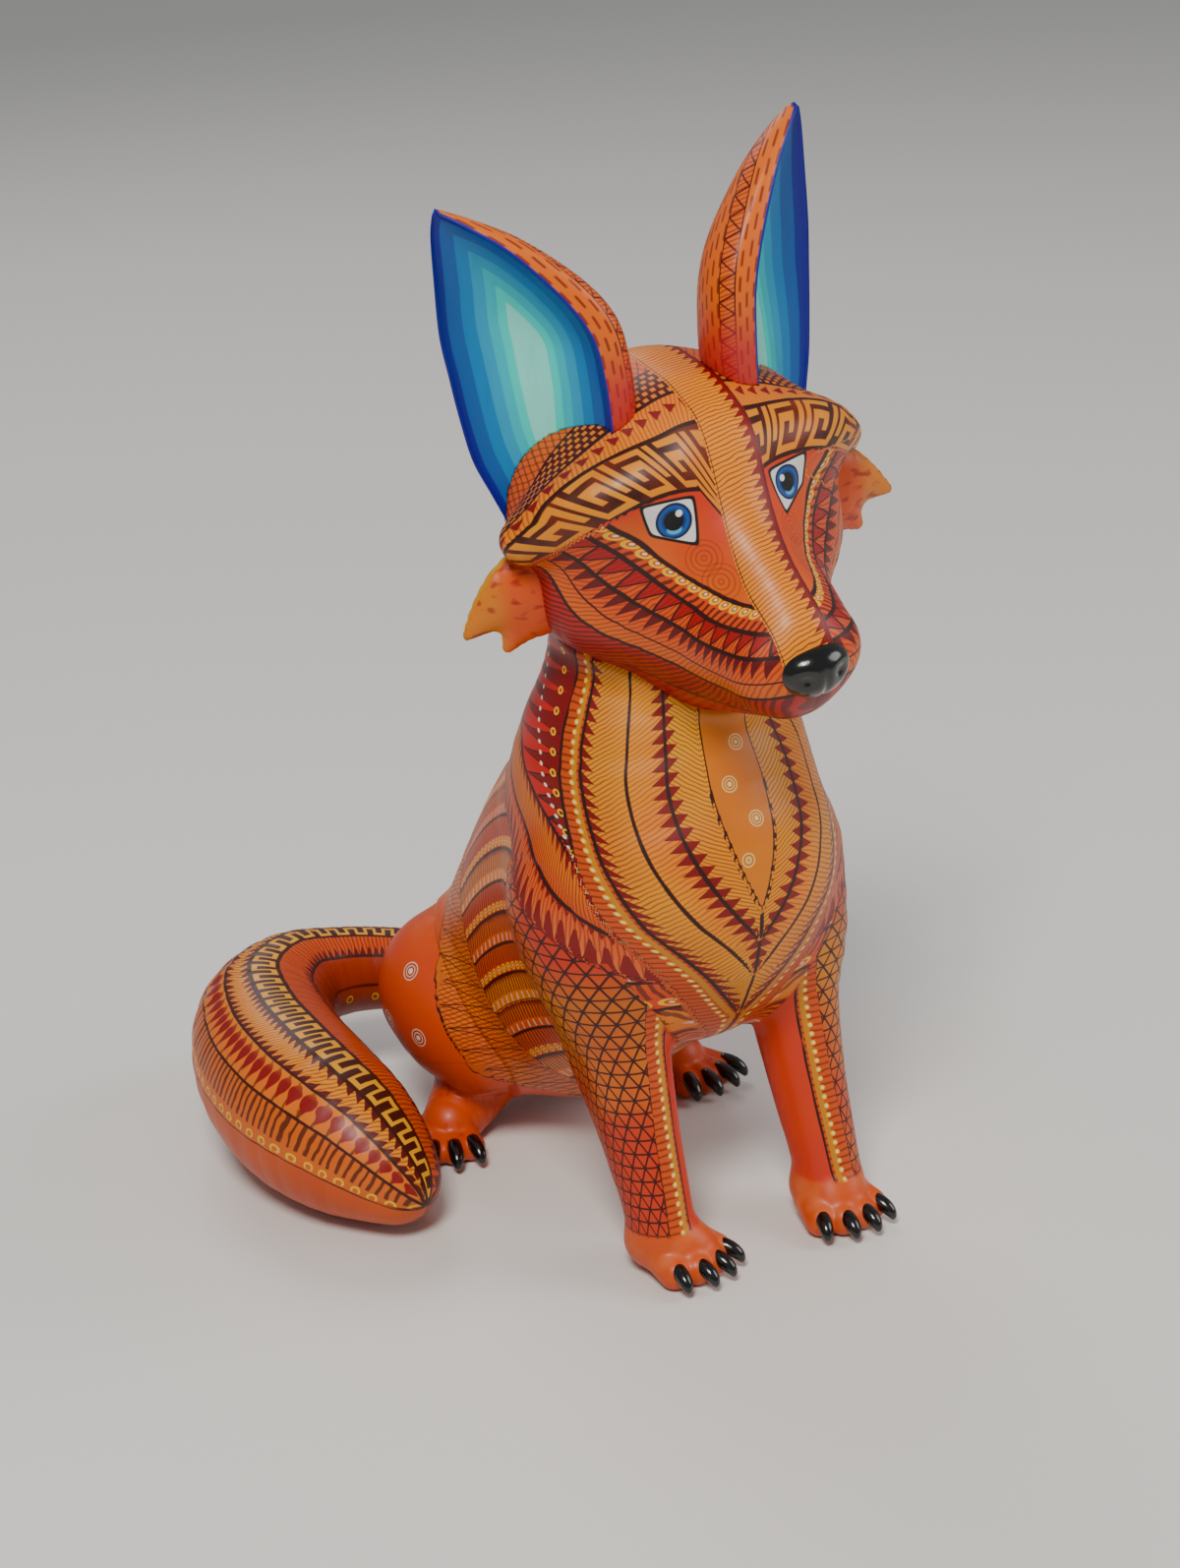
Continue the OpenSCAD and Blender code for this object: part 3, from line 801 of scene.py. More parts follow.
def makeClaws(name, shape, sign):
    rows, cols = claw["rows"], claw["cols"]
    t = np.linspace(0, 1, rows)[:, None]
    a = np.linspace(0, 2 * math.pi, cols, endpoint=False)[None, :]
    bend = t * math.pi / 2
    allPoints, allQuads, allTris = [], [], []
    for toe in ("toeA", "toeB", "toeC", "toeD"):
        start, end = (np.array(ball[:3], float) for ball in shape[toe]["balls"])
        ahead = (end - start) * np.array([1, 1, 0])
        ahead /= np.linalg.norm(ahead)
        side = np.array([-ahead[1], ahead[0], 0.0])
        radius = claw["base"] * np.maximum(1 - t ** 2.4, 0.004) ** 0.6
        root = end * np.array([1, 1, 0]) + ahead * 0.5 + np.array([0, 0, claw["height"]])
        down = np.array([0, 0, 1]) * claw["drop"] * (1 - np.cos(bend))
        middle = root + ahead * claw["reach"] * np.sin(bend) - down
        lift = np.cos(bend) * np.array([0, 0, 1.0]) + np.sin(bend) * ahead
        points = (middle[:, None] + (radius * np.cos(a))[..., None] * side
                  + (radius * np.sin(a))[..., None] * lift[:, None]).reshape(-1, 3)
        first = sum(len(p) for p in allPoints)
        c = np.arange(cols)
        n = (c + 1) % cols
        top = (rows - 1) * cols
        points = np.vstack([points, middle[:1], middle[-1:]])
        allQuads.append(gridFaces(rows, cols) + first)
        allTris.append(np.stack([np.full(cols, rows * cols), n, c], 1) + first)
        allTris.append(np.stack([top + c, top + n, np.full(cols, rows * cols + 1)], 1) + first)
        allPoints.append(points)
    points = np.vstack(allPoints) * np.array([sign, 1.0, 1.0])
    quads, tris = np.vstack(allQuads), np.vstack(allTris)
    if sign < 0:
        quads, tris = quads[:, ::-1], tris[:, ::-1]
    return makeMesh(name, toRow(points), quads, tris)


pieces["noseSkin"] = (makeNose(), None)
for sideName, sign in (("right", -1), ("left", 1)):
    front = turnedPaw(bodyShape["foreleg"]) if sign < 0 else bodyShape["foreleg"]
    rear = turnedFoot(bodyShape["hindLeg"]) if sign < 0 else bodyShape["hindLeg"]
    pieces["foreClaws_" + sideName] = (makeClaws("foreClaws_" + sideName, front, sign), None)
    pieces["hindClaws_" + sideName] = (makeClaws("hindClaws_" + sideName, rear, sign), None)
print("nose and claws made")


paintDepth = {"rich": 1.42, "bright": 0.74}   # how far a colour is drawn away from grey, and how light it is


def linear(code):
    # sRGB hex to linear: ((c + 0.055) / 1.055)^2.4, then grey + rich (c - grey), times bright
    values = [int(code[i:i + 2], 16) / 255 for i in (1, 3, 5)]
    values = [v / 12.92 if v < 0.04045 else ((v + 0.055) / 1.055) ** 2.4 for v in values]
    grey = sum(values) / 3
    return tuple(max(grey + (v - grey) * paintDepth["rich"], 0.0) * paintDepth["bright"] for v in values) + (1.0,)


class Term:
    # a number on the surface: + - * / and comparisons make Math nodes
    def __init__(self, tree, socket):
        self.tree = tree
        self.socket = socket

    def math(self, operation, *others, clamp=False):
        node = self.tree.nodes.new("ShaderNodeMath")
        node.operation = operation
        node.use_clamp = clamp
        for i, item in enumerate((self,) + others):
            if isinstance(item, Term):
                self.tree.links.new(item.socket, node.inputs[i])
            else:
                node.inputs[i].default_value = float(item)
        return Term(self.tree, node.outputs[0])

    def __add__(self, other):
        return self.math("ADD", other)

    def __sub__(self, other):
        return self.math("SUBTRACT", other)

    def __mul__(self, other):
        return self.math("MULTIPLY", other)

    def __truediv__(self, other):
        return self.math("DIVIDE", other)

    def of(self, number):
        # number - self
        return (self * -1) + number

    def fract(self):
        return self.math("FRACT")

    def size(self):
        return self.math("ABSOLUTE")

    def least(self, other):
        return self.math("MINIMUM", other)

    def most(self, other):
        return self.math("MAXIMUM", other)

    def below(self, limit, soft=0.12):
        # 1 where self < limit, with an edge of width soft: clamp((limit - self) / soft + 0.5)
        if isinstance(limit, Term):
            return ((limit - self) / soft).math("ADD", 0.5, clamp=True)
        return (self * (-1.0 / soft)).math("ADD", limit / soft + 0.5, clamp=True)

    def between(self, low, high, soft=0.001):
        return self.below(high, soft) * self.below(low, soft).of(1)


def attributeTerm(tree, name):
    node = tree.nodes.new("ShaderNodeAttribute")
    node.attribute_name = name
    return Term(tree, node.outputs["Fac"])


def noiseTerm(tree, scale, detail=2.0, stretch=(1, 1, 1)):
    place = tree.nodes.new("ShaderNodeTexCoord")
    mapping = tree.nodes.new("ShaderNodeMapping")
    mapping.inputs["Scale"].default_value = stretch
    noise = tree.nodes.new("ShaderNodeTexNoise")
    noise.inputs["Scale"].default_value = scale
    noise.inputs["Detail"].default_value = detail
    tree.links.new(place.outputs["Object"], mapping.inputs["Vector"])
    tree.links.new(mapping.outputs["Vector"], noise.inputs["Vector"])
    return Term(tree, noise.outputs[0])


class Paint:
    # a colour that further coats of paint are laid over, each through a mask
    def __init__(self, tree, code):
        self.tree = tree
        node = tree.nodes.new("ShaderNodeRGB")
        node.outputs[0].default_value = linear(code)
        self.socket = node.outputs[0]

    def coat(self, code, mask):
        mix = self.tree.nodes.new("ShaderNodeMix")
        mix.data_type = "RGBA"
        self.tree.links.new(mask.socket, mix.inputs["Factor"])
        self.tree.links.new(self.socket, mix.inputs[6])
        if isinstance(code, Paint):
            self.tree.links.new(code.socket, mix.inputs[7])
        else:
            mix.inputs[7].default_value = linear(code)
        self.socket = mix.outputs[2]
        return self


def startMaterial(name, roughness=0.36, coat=0.06):
    material = bpy.data.materials.new(name)
    material.use_nodes = True
    tree = material.node_tree
    shader = tree.nodes["Principled BSDF"]
    shader.inputs["Roughness"].default_value = roughness
    shader.inputs["Coat Weight"].default_value = coat
    shader.inputs["Coat Roughness"].default_value = 0.18
    shader.inputs["Specular IOR Level"].default_value = 0.38
    return material, tree, shader


def finishMaterial(tree, shader, paint):
    # brush strokes and wood grain lift the surface a little
    tree.links.new(paint.socket, shader.inputs["Base Color"])
    grain = noiseTerm(tree, 900.0, 3.0, (1, 1, 0.25)) * 0.35 + noiseTerm(tree, 160.0, 2.0) * 0.65
    bump = tree.nodes.new("ShaderNodeBump")
    bump.inputs["Strength"].default_value = 0.16
    bump.inputs["Distance"].default_value = 0.0006
    tree.links.new(grain.socket, bump.inputs["Height"])
    tree.links.new(bump.outputs["Normal"], shader.inputs["Normal"])
    rough = noiseTerm(tree, 60.0, 2.0) * 0.16 + 0.37
    tree.links.new(rough.socket, shader.inputs["Roughness"])


def ridge(t, period, shiftBy=0.0):
    # 0 in the middle of each period and 1 at its ends: |2 fract(t / period + shift) - 1|
    return ((t / period + shiftBy).fract() * 2 - 1).size()


def paintBand(paint, band, region, share, width, along):
    # lays one band's motifs through the region's mask; a and b are mm from its two edges
    a = share * width
    b = share.of(1) * width
    tree = paint.tree
    paint.coat(band["base"], region)
    for motif in band.get("motifs", []):
        kind, colour = motif[0], motif[1]
        option = motif[2] if len(motif) > 2 else {}
        edge = b if option.get("from") == "far" else a
        period = option.get("period", 2.0)
        slant = option.get("slant", 0.0)
        run = along + edge * slant if slant else along
        if kind == "fade":        # a second colour grows towards the far edge
            low, high = option.get("span", (0.0, 1.0))
            source = share if option.get("from") != "near" else share.of(1)
            mask = ((source - low) / (high - low)).math("ADD", 0, clamp=True) * option.get("strength", 0.8)
        elif kind == "strokes":   # thin lines across the band
            line = ridge(run + noiseTerm(tree, 220.0, 1.0) * option.get("shake", 1.2), period)
            mask = line.below(option.get("thick", 0.3) / period * 2, 0.22)
            if "reach" in option:
                low, high = option["reach"]
                mask = mask * edge.between(low, high, 0.3)
            if "share" in option:
                low, high = option["share"]
                mask = mask * share.between(low, high, 0.03)
            mask = mask * option.get("strength", 0.75)
        elif kind == "teeth":     # triangles that stand on one edge
            tall = option.get("tall", 3.0)
            limit = ridge(run, period).of(1) * tall
            if "most" in option:
                limit = limit.least(width * option["most"])
            mask = edge.below(limit, 0.3)
        elif kind == "dots":      # round dots in a row, or rings
            x = ((along / period).fract() - 0.5) * period
            at = option.get("at", 0.5)
            y = (share - at) * width if option.get("middle") else edge - at
            r = (x * x + y * y).math("SQRT")
            if "ring" in option:
                mask = (r - option["radius"]).size().below(option["ring"], 0.15)
            else:
                mask = r.below(option["radius"], 0.2)
        elif kind == "zigzag":    # one bent line that runs from edge to edge
            low, high = option.get("low", 0.05), option.get("high", 0.95)
            limit = ridge(run, period) * (high - low) + low
            gap = (share - limit).size() * width
            mask = gap.below(option.get("thick", 0.35) * (1 + 2.0 * option.get("steep", 1.0)), 0.4)
        elif kind == "fang":      # triangles that fill the zigzag from one side
            limit = ridge(run, period)
            mask = share.below(limit * option.get("tall", 0.9), 0.06)
        elif kind == "rails":     # lines that run along the band
            mask = (edge - option["at"]).size().below(option.get("thick", 0.3), 0.2)
        elif kind == "dashes":    # short strokes in staggered rows
            rows = option.get("rows", 3)
            row = share * rows
            stagger = row.math("FLOOR") * 0.5
            x = ((along / period + stagger).fract() - 0.5).size()
            y = (row.fract() - 0.5).size()
            mask = x.below(option.get("long", 0.3), 0.08) * y.below(option.get("tall", 0.3), 0.1)
        elif kind == "arrows":    # a row of solid arrow heads along the band
            x = (along / period).fract()
            y = (share - option.get("at", 0.5)).size() * width
            mask = y.below((x * -1 + 0.8) * option.get("tall", 2.6), 0.35) * x.between(0.12, 0.8, 0.06)
        elif kind == "boxes":     # a stepped fret: boxes in a tile of eight by seven
            x = (along / period).fract() * 8
            y = share * 7
            mask = None
            for x0, y0, x1, y1 in option["tile"]:
                box = x.between(x0, x1, 0.12) * y.between(y0, y1, 0.12)
                mask = box if mask is None else mask.most(box)
        elif kind == "drops":     # one drop across the band in each period, fatter towards the far edge
            x = ((along / period).fract() - 0.5).size() * period
            wide = (share - 0.12).most(0) * (share.of(0.9)).most(0) * share * 24
            mask = x.below(wide, 0.3) * wide.below(0.1, 0.05).of(1)
        elif kind == "cloud":     # uneven patches of a second colour
            mask = (noiseTerm(tree, option.get("scale", 30.0), 3.0) - 0.42).math("MULTIPLY", 4.0, clamp=True)
            mask = mask * option.get("strength", 0.4)
        else:
            raise ValueError(kind)
        paint.coat(colour, mask * region)
    return paint


def paintBands(paint, names, bands, gate=None, line=("#2e0e0c", 0.42)):
    # bands is {number: band}; each is laid where floor(place) is its number, then the dark lines between them
    tree = paint.tree
    place, width, along = (attributeTerm(tree, n) for n in names)
    share = place.fract()
    for number, band in bands.items():
        region = place.between(number, number + 1, 0.0004)
        if gate is not None:
            region = region * gate
        paintBand(paint, band, region, share, width, along)
    low, high = min(bands), max(bands)
    near = share.least(share.of(1)) * width
    thin = noiseTerm(tree, 120.0, 1.0) * 0.35
    stroke = near.below(thin + line[1], 0.25) * place.between(low + 0.02, high + 0.98, 0.001)
    if gate is not None:
        stroke = stroke * gate
    paint.coat(line[0], stroke)
    return place, share, width, along


red, maroon = "#7a1414", "#34100c"
orange, deepOrange, salmon, redOrange = "#e28a1e", "#d4691c", "#dd7d48", "#c2481a"
golden, ochre, yellow = "#efa51c", "#c58a24", "#f2c650"
white, pinkish, magenta = "#f6f0e0", "#d8906c", "#bb3350"


def featherBand(base, far=False, tall=3.4, period=3.1, tooth=red, fade=salmon, slant=0.5):
    # a band of fine slanting hatch with a row of dark teeth on one edge
    return {"base": base, "motifs": [
        ("fade", fade, {"span": (0.0, 1.0), "strength": 0.7, "from": "near" if far else "far"}),
        ("cloud", golden, {"scale": 22.0, "strength": 0.45}),
        ("strokes", maroon, {"period": 1.45, "thick": 0.26, "slant": slant, "strength": 0.62}),
        ("teeth", tooth, {"tall": tall, "period": period, "from": "far" if far else "near", "slant": slant,
                          "most": 0.7})]}


chestPaint = {
    0: {"base": "#cf8420", "motifs": [("cloud", "#b86a1c", {"scale": 26.0, "strength": 0.6})]},
    1: {"base": "#e3961e", "motifs": [
        ("cloud", "#e9b428", {"scale": 20.0, "strength": 0.75}),
        ("strokes", maroon, {"period": 1.5, "thick": 0.26, "slant": 0.6, "strength": 0.6}),
        ("teeth", red, {"tall": 4.2, "period": 4.0, "from": "far", "slant": 0.4, "most": 0.6})]},
    2: {"base": "#e28c30", "motifs": [
        ("fade", "#e79a26", {"strength": 0.7}),
        ("cloud", "#e9b428", {"scale": 18.0, "strength": 0.6}),
        ("strokes", "#8a2a14", {"period": 1.5, "thick": 0.24, "slant": -0.6, "strength": 0.55}),
        ("teeth", red, {"tall": 5.0, "period": 4.0, "slant": -0.4, "most": 0.6})]},
    3: {"base": "#e2922a", "motifs": [
        ("cloud", "#e6aa26", {"scale": 18.0, "strength": 0.7}),
        ("strokes", maroon, {"period": 1.5, "thick": 0.26, "slant": -0.6, "strength": 0.6}),
        ("teeth", red, {"tall": 4.6, "period": 3.6, "from": "far", "slant": -0.5, "most": 0.6}),
        ("fade", golden, {"from": "near", "span": (0.5, 1.0), "strength": 0.35})]},
    4: {"base": "#c8641e", "motifs": [
        ("strokes", maroon, {"period": 2.2, "thick": 0.35, "strength": 0.6}),
        ("rails", ochre, {"at": 2.2, "thick": 0.9, "from": "near"}),
        ("dots", yellow, {"period": 3.0, "radius": 0.85, "at": 0.42, "middle": True}),
        ("dots", white, {"period": 3.0, "radius": 0.4, "at": 0.42, "middle": True})]},
    5: {"base": redOrange, "motifs": [
        ("fang", "#7c1512", {"period": 6.0, "tall": 0.95}),
        ("zigzag", maroon, {"period": 6.0, "thick": 0.3}),
        ("dots", white, {"period": 3.0, "radius": 0.6, "at": 0.5, "middle": True}),
        ("dots", yellow, {"period": 6.0, "radius": 0.9, "at": 0.2, "middle": True, "ring": 0.3})]},
    6: featherBand(orange, tall=3.6, period=3.4, fade=redOrange, slant=-0.5),
    7: {"base": "#d86a34", "motifs": [
        ("fade", pinkish, {"strength": 0.5}),
        ("strokes", maroon, {"period": 1.5, "thick": 0.25, "strength": 0.55}),
        ("teeth", "#7c1512", {"tall": 9.0, "period": 4.6, "from": "far", "most": 0.62}),
        ("teeth", red, {"tall": 2.6, "period": 2.8, "most": 0.4})]},
}
ribPaint = {}
for number in range(7):
    ribPaint[number] = {"base": (deepOrange, "#cf5a2a", orange, "#cc5420")[number % 4], "motifs": [
        ("fade", (orange, salmon)[number % 2], {"strength": 0.4, "from": "near"}),
        ("strokes", maroon, {"period": 2.0, "thick": 0.5, "share": (0.0, 0.62), "strength": 0.75})]}
    if number % 2:
        ribPaint[number]["motifs"] += [
            ("dots", yellow, {"period": 4.0, "radius": 1.3, "at": 0.78, "middle": True, "ring": 0.32}),
            ("dots", white, {"period": 4.0, "radius": 0.4, "at": 0.78, "middle": True})]
    else:
        ribPaint[number]["motifs"] += [
            ("strokes", white, {"period": 4.0, "thick": 0.4, "share": (0.68, 0.92), "strength": 0.7}),
            ("teeth", red, {"tall": 2.4, "period": 2.0, "from": "near"})]
zigzagStrip = {"base": "#db7a24", "motifs": [
    ("cloud", golden, {"scale": 30.0, "strength": 0.5}),
    ("strokes", "#7c2412", {"period": 1.5, "thick": 0.26, "slant": 0.5, "strength": 0.75}),
    ("strokes", "#7c2412", {"period": 2.1, "thick": 0.24, "slant": -0.7, "strength": 0.55}),
    ("zigzag", maroon, {"period": 8.0, "thick": 0.3})]}
headPaint = {
    0: {"base": "#dc7426", "motifs": [
        ("fade", salmon, {"strength": 0.5}),
        ("strokes", maroon, {"period": 2.6, "thick": 0.34, "slant": 0.5, "strength": 0.6}),
        ("strokes", maroon, {"period": 2.6, "thick": 0.34, "slant": -0.5, "strength": 0.5})]},
    1: {"base": "#4a1c14", "motifs": [("dashes", "#df8d5e", {"period": 2.9, "rows": 5, "long": 0.27, "tall": 0.3})]},
    2: {"base": orange, "motifs": [
        ("fade", golden, {"strength": 0.4}),
        ("strokes", "#8a2a14", {"period": 1.5, "thick": 0.25, "slant": 0.5, "strength": 0.55}),
        ("arrows", red, {"period": 5.4, "tall": 2.9, "at": 0.4})]},
    3: {"base": "#3c1710", "motifs": [("boxes", "#e09a44", {"period": 14.0, "tile": [
        (0.6, 0.5, 1.7, 6.5), (0.6, 5.5, 6.3, 6.5), (5.2, 2.2, 6.3, 6.5), (2.8, 2.2, 6.3, 3.2),
        (2.8, 2.2, 3.9, 4.4), (6.9, 0.5, 8.0, 4.6), (2.8, 0.5, 8.0, 1.4)]}),
        ("cloud", "#c4602a", {"scale": 60.0, "strength": 0.25})]},
    4: {"base": "#cc5a24", "motifs": [
        ("fade", orange, {"span": (0.3, 1.0), "strength": 0.5}),
        ("cloud", redOrange, {"scale": 40.0, "strength": 0.4})]},
    5: {"base": "#d0642c", "motifs": [
        ("strokes", "#4a160c", {"period": 1.9, "thick": 0.42, "share": (0.5, 0.95), "strength": 0.85}),
        ("dots", yellow, {"period": 3.3, "radius": 1.15, "at": 0.24, "middle": True, "ring": 0.34}),
        ("dots", white, {"period": 3.3, "radius": 0.4, "at": 0.24, "middle": True})]},
    6: {"base": "#d66c34", "motifs": [
        ("fang", "#a82c18", {"period": 4.4, "tall": 0.9}),
        ("strokes", "#7c1a10", {"period": 1.1, "thick": 0.22, "strength": 0.6}),
        ("zigzag", "#3c120c", {"period": 4.4, "thick": 0.36, "steep": 0.5})]},
    7: {"base": "#cf6028", "motifs": [
        ("fade", "#e08850", {"strength": 0.75}),
        ("strokes", "#7c1a10", {"period": 1.4, "thick": 0.25, "slant": 0.5, "strength": 0.55}),
        ("teeth", "#5e120e", {"tall": 6.0, "period": 3.0, "most": 0.7}),
        ("rails", "#3c120c", {"at": 5.6, "thick": 0.3, "from": "far"})]},
    8: {"base": "#b9441c", "motifs": [
        ("fade", "#8a2c18", {"strength": 0.5}),
        ("strokes", "#4a160c", {"period": 2.0, "thick": 0.5, "slant": 0.7, "strength": 0.75})]},
    9: {"base": "#b5461e", "motifs": [
        ("cloud", "#8a2c16", {"scale": 30.0, "strength": 0.5}),
        ("strokes", "#5a1a10", {"period": 3.0, "thick": 0.5, "slant": 0.7, "strength": 0.5})]},
}
stripePaint = {
    1: {"base": "#f0a01a", "motifs": [
        ("cloud", "#e08a1c", {"scale": 26.0, "strength": 0.5}),
        ("strokes", "#6a2a10", {"period": 1.35, "thick": 0.2, "slant": 0.12, "strength": 0.75}),
        ("rails", "#7c1512", {"at": 0.8, "thick": 1.0, "from": "far"}),
        ("teeth", "#7c1512", {"tall": 5.2, "period": 3.4, "from": "far", "slant": -0.5, "most": 0.42})]},
}
tailPaint = {
    0: {"base": "#cc6a1c", "motifs": [("cloud", "#b4501a", {"scale": 22.0, "strength": 0.5}),
                                      ("fade", "#b9541c", {"span": (0.0, 0.8), "from": "near", "strength": 0.5})]},
    1: {"base": "#d2762a", "motifs": [
        ("strokes", maroon, {"period": 2.7, "thick": 0.55, "share": (0.32, 0.98), "strength": 0.85}),
        ("dots", yellow, {"period": 5.4, "radius": 1.3, "at": 0.12, "middle": True, "ring": 0.35})]},
    2: {"base": "#e0864a", "motifs": [
        ("strokes", maroon, {"period": 4.6, "thick": 0.4, "strength": 0.8}),
        ("drops", "#8a1818", {"period": 4.6}),
        ("fade", golden, {"span": (0.7, 1.0), "strength": 0.3})]},
    3: {"base": "#f0aa20", "motifs": [
        ("fade", "#dd8426", {"from": "near", "strength": 0.6}),
        ("strokes", "#7a3010", {"period": 1.5, "thick": 0.26, "slant": -0.5, "strength": 0.65}),
        ("teeth", "#5e150e", {"tall": 3.6, "period": 3.4, "slant": -0.5, "most": 0.45}),
        ("teeth", "#5e150e", {"tall": 3.6, "period": 3.4, "from": "far", "slant": -0.5, "most": 0.45})]},
    4: {"base": "#431a10", "motifs": [("boxes", "#eeb23e", {"period": 6.8, "tile": [
        (0.0, 0.7, 4.6, 2.0), (3.3, 0.7, 4.6, 6.3), (4.0, 5.0, 8.0, 6.3), (7.3, 0.7, 8.0, 6.3),
        (0.0, 0.7, 0.6, 6.3)]})]},
    5: {"base": deepOrange, "motifs": [
        ("strokes", maroon, {"period": 1.6, "thick": 0.3, "strength": 0.6}),
        ("teeth", "#5e150e", {"tall": 4.0, "period": 3.0, "from": "far", "most": 0.6})]},
    6: {"base": "#a34a1c", "motifs": [("cloud", "#8a3816", {"scale": 30.0, "strength": 0.5})]},
    7: {"base": "#a8501e", "motifs": [("cloud", "#8a3816", {"scale": 30.0, "strength": 0.5}),
                                      ("dots", yellow, {"period": 14.0, "radius": 1.4, "at": 5.0, "ring": 0.35})]},
}


def placeTerm(tree, point, twin=True):
    # distance in mm from a point of the fox and, as its twin, from the same point of the other half
    source = tree.nodes.new("ShaderNodeTexCoord")
    split = tree.nodes.new("ShaderNodeSeparateXYZ")
    tree.links.new(source.outputs["Object"], split.inputs[0])
    x, y, z = (Term(tree, split.outputs[i]) for i in range(3))
    dx = x * 1000 - float(shift[0])
    dx = (dx.size() if twin else dx) - point[0]
    dy = y * 1000 - float(shift[1]) - point[1]
    dz = z * 1000 - float(shift[2]) - point[2]
    return (dx * dx + dy * dy + dz * dz).math("SQRT")


def ringDots(paint, places, radius, gate, light=white, dark="#a32a1c", twin=True):
    # small targets: two thin pale rings round a pale dot
    for point in places:
        r = placeTerm(paint.tree, point, twin)
        paint.coat(dark, r.below(radius * 0.95, 0.4) * gate * 0.5)
        paint.coat(light, (r - radius * 0.95).size().below(0.2, 0.25) * gate * 0.9)
        paint.coat(light, (r - radius * 0.6).size().below(0.22, 0.25) * gate * 0.75)
        paint.coat(light, r.below(radius * 0.32, 0.3) * gate)


latticePaint = {"cell": 5.0, "line": 0.07, "knot": 0.2, "top": 100.0, "foot": 40.0}


def paintLattice(paint, region, along, up):
    # three sets of thin lines at 60 degrees, u = along / cell and v = height / (0.87 cell), and a dot where they meet
    tree = paint.tree
    paint.coat("#b8721f", region)
    paint.coat("#c8431a", up.below(latticePaint["foot"] + 34, 50.0) * region * 0.75)
    paint.coat("#c23c1c", up.below(latticePaint["top"], 14.0).of(1) * region * 0.8)
    paint.coat("#da9a34", (noiseTerm(tree, 24.0, 2.0) - 0.46).math("MULTIPLY", 4.0, clamp=True) * region * 0.6)
    u = along / latticePaint["cell"]
    v = up / (latticePaint["cell"] * 0.87)
    p, q = u - v * 0.5, u + v * 0.5
    gaps = [(t.fract() - 0.5).size().of(0.5) for t in (p, q, v)]
    lines = gaps[0].least(gaps[1]).least(gaps[2]).below(latticePaint["line"], 0.05)
    knot = (gaps[0] + gaps[1]).below(latticePaint["knot"], 0.06)
    paint.coat("#34100a", lines.most(knot) * region)


def bodyMaterial(name, forLeg):
    material, tree, shader = startMaterial(name)
    paint = Paint(tree, "#c9541e")
    place = attributeTerm(tree, "bandPlace")
    front = place.below(8, 0.001)
    paintBands(paint, ("bandPlace", "bandWidth", "bandAlong"), chestPaint, gate=front)
    # five rings go down the chest's middle leaf from side to side, 11 mm apart, on the chest's slope
    dots = [(3 * (-1) ** (i + 1), 26 - 5.5 * i, 184 - 11 * i) for i in range(5)]
    ringDots(paint, dots, 2.6, place.below(1, 0.001), "#f0d9a0", "#b5661c", False)
    behind = front.of(1)
    if forLeg:
        width, along = attributeTerm(tree, "bandWidth"), attributeTerm(tree, "legAround")
        share = (place - 8).fract()
        up = heightTerm(tree)
        # the lattice takes the strip's lower neighbours too
        low = place.between(5, 8, 0.001) * up.below(108, 1.0)
        field = behind.most(low)
        paintLattice(paint, field, along, up)
        edge = (share * width).below(0.55, 0.3) * behind
        paint.coat(maroon, edge)
        # the leg's inner side and its paw are plain
        plain = place.below(4, 0.002) * up.below(102, 1.0)
        paw = up.below(17, 1.5)
        paint.coat("#cc5a2c", plain)
        blush = (noiseTerm(tree, 26.0, 2.0) - 0.45).math("MULTIPLY", 3.0, clamp=True)
        paint.coat(magenta, blush * plain * 0.45)
        paint.coat("#cf6a42", paw)
        paint.coat("#e8a080", (noiseTerm(tree, 80.0, 2.0) - 0.48).math("MULTIPLY", 3.0, clamp=True) * paw * 0.55)
        paint.coat("#b03a24", (noiseTerm(tree, 60.0, 2.0) - 0.55).math("MULTIPLY", 4.0, clamp=True) * paw * 0.5)
    else:
        paintBands(paint, ("ribPlace", "ribWidth", "ribAlong"), ribPaint, gate=behind)
        haunch = attributeTerm(tree, "haunchPlace")
        paintHaunch(paint, haunch, behind)
        paint.coat(maroon, ((place - 8).fract() * attributeTerm(tree, "bandWidth")).below(0.6, 0.3) * behind)
    finishMaterial(tree, shader, paint)
    return material


def heightTerm(tree):
    source = tree.nodes.new("ShaderNodeTexCoord")
    split = tree.nodes.new("ShaderNodeSeparateXYZ")
    tree.links.new(source.outputs["Object"], split.inputs[0])
    return Term(tree, split.outputs[2]) * 1000


# rings sit on the haunch's ball, centre + radius (cos rise cos turn, cos rise sin turn, sin rise)
haunchBall = {"centre": (31, 146, 47), "radius": 29.0, "turns": (-65, -25, 15, 55), "rises": (-5, 38),
              "stagger": 20}


def ballPoints(ball):
    found = []
    for row, rise in enumerate(ball["rises"]):
        for turn in ball["turns"]:
            a, e = math.radians(turn + row * ball["stagger"]), math.radians(rise)
            way = (math.cos(e) * math.cos(a), math.cos(e) * math.sin(a), math.sin(e))
            found.append([c + ball["radius"] * w for c, w in zip(ball["centre"], way)])
    return found


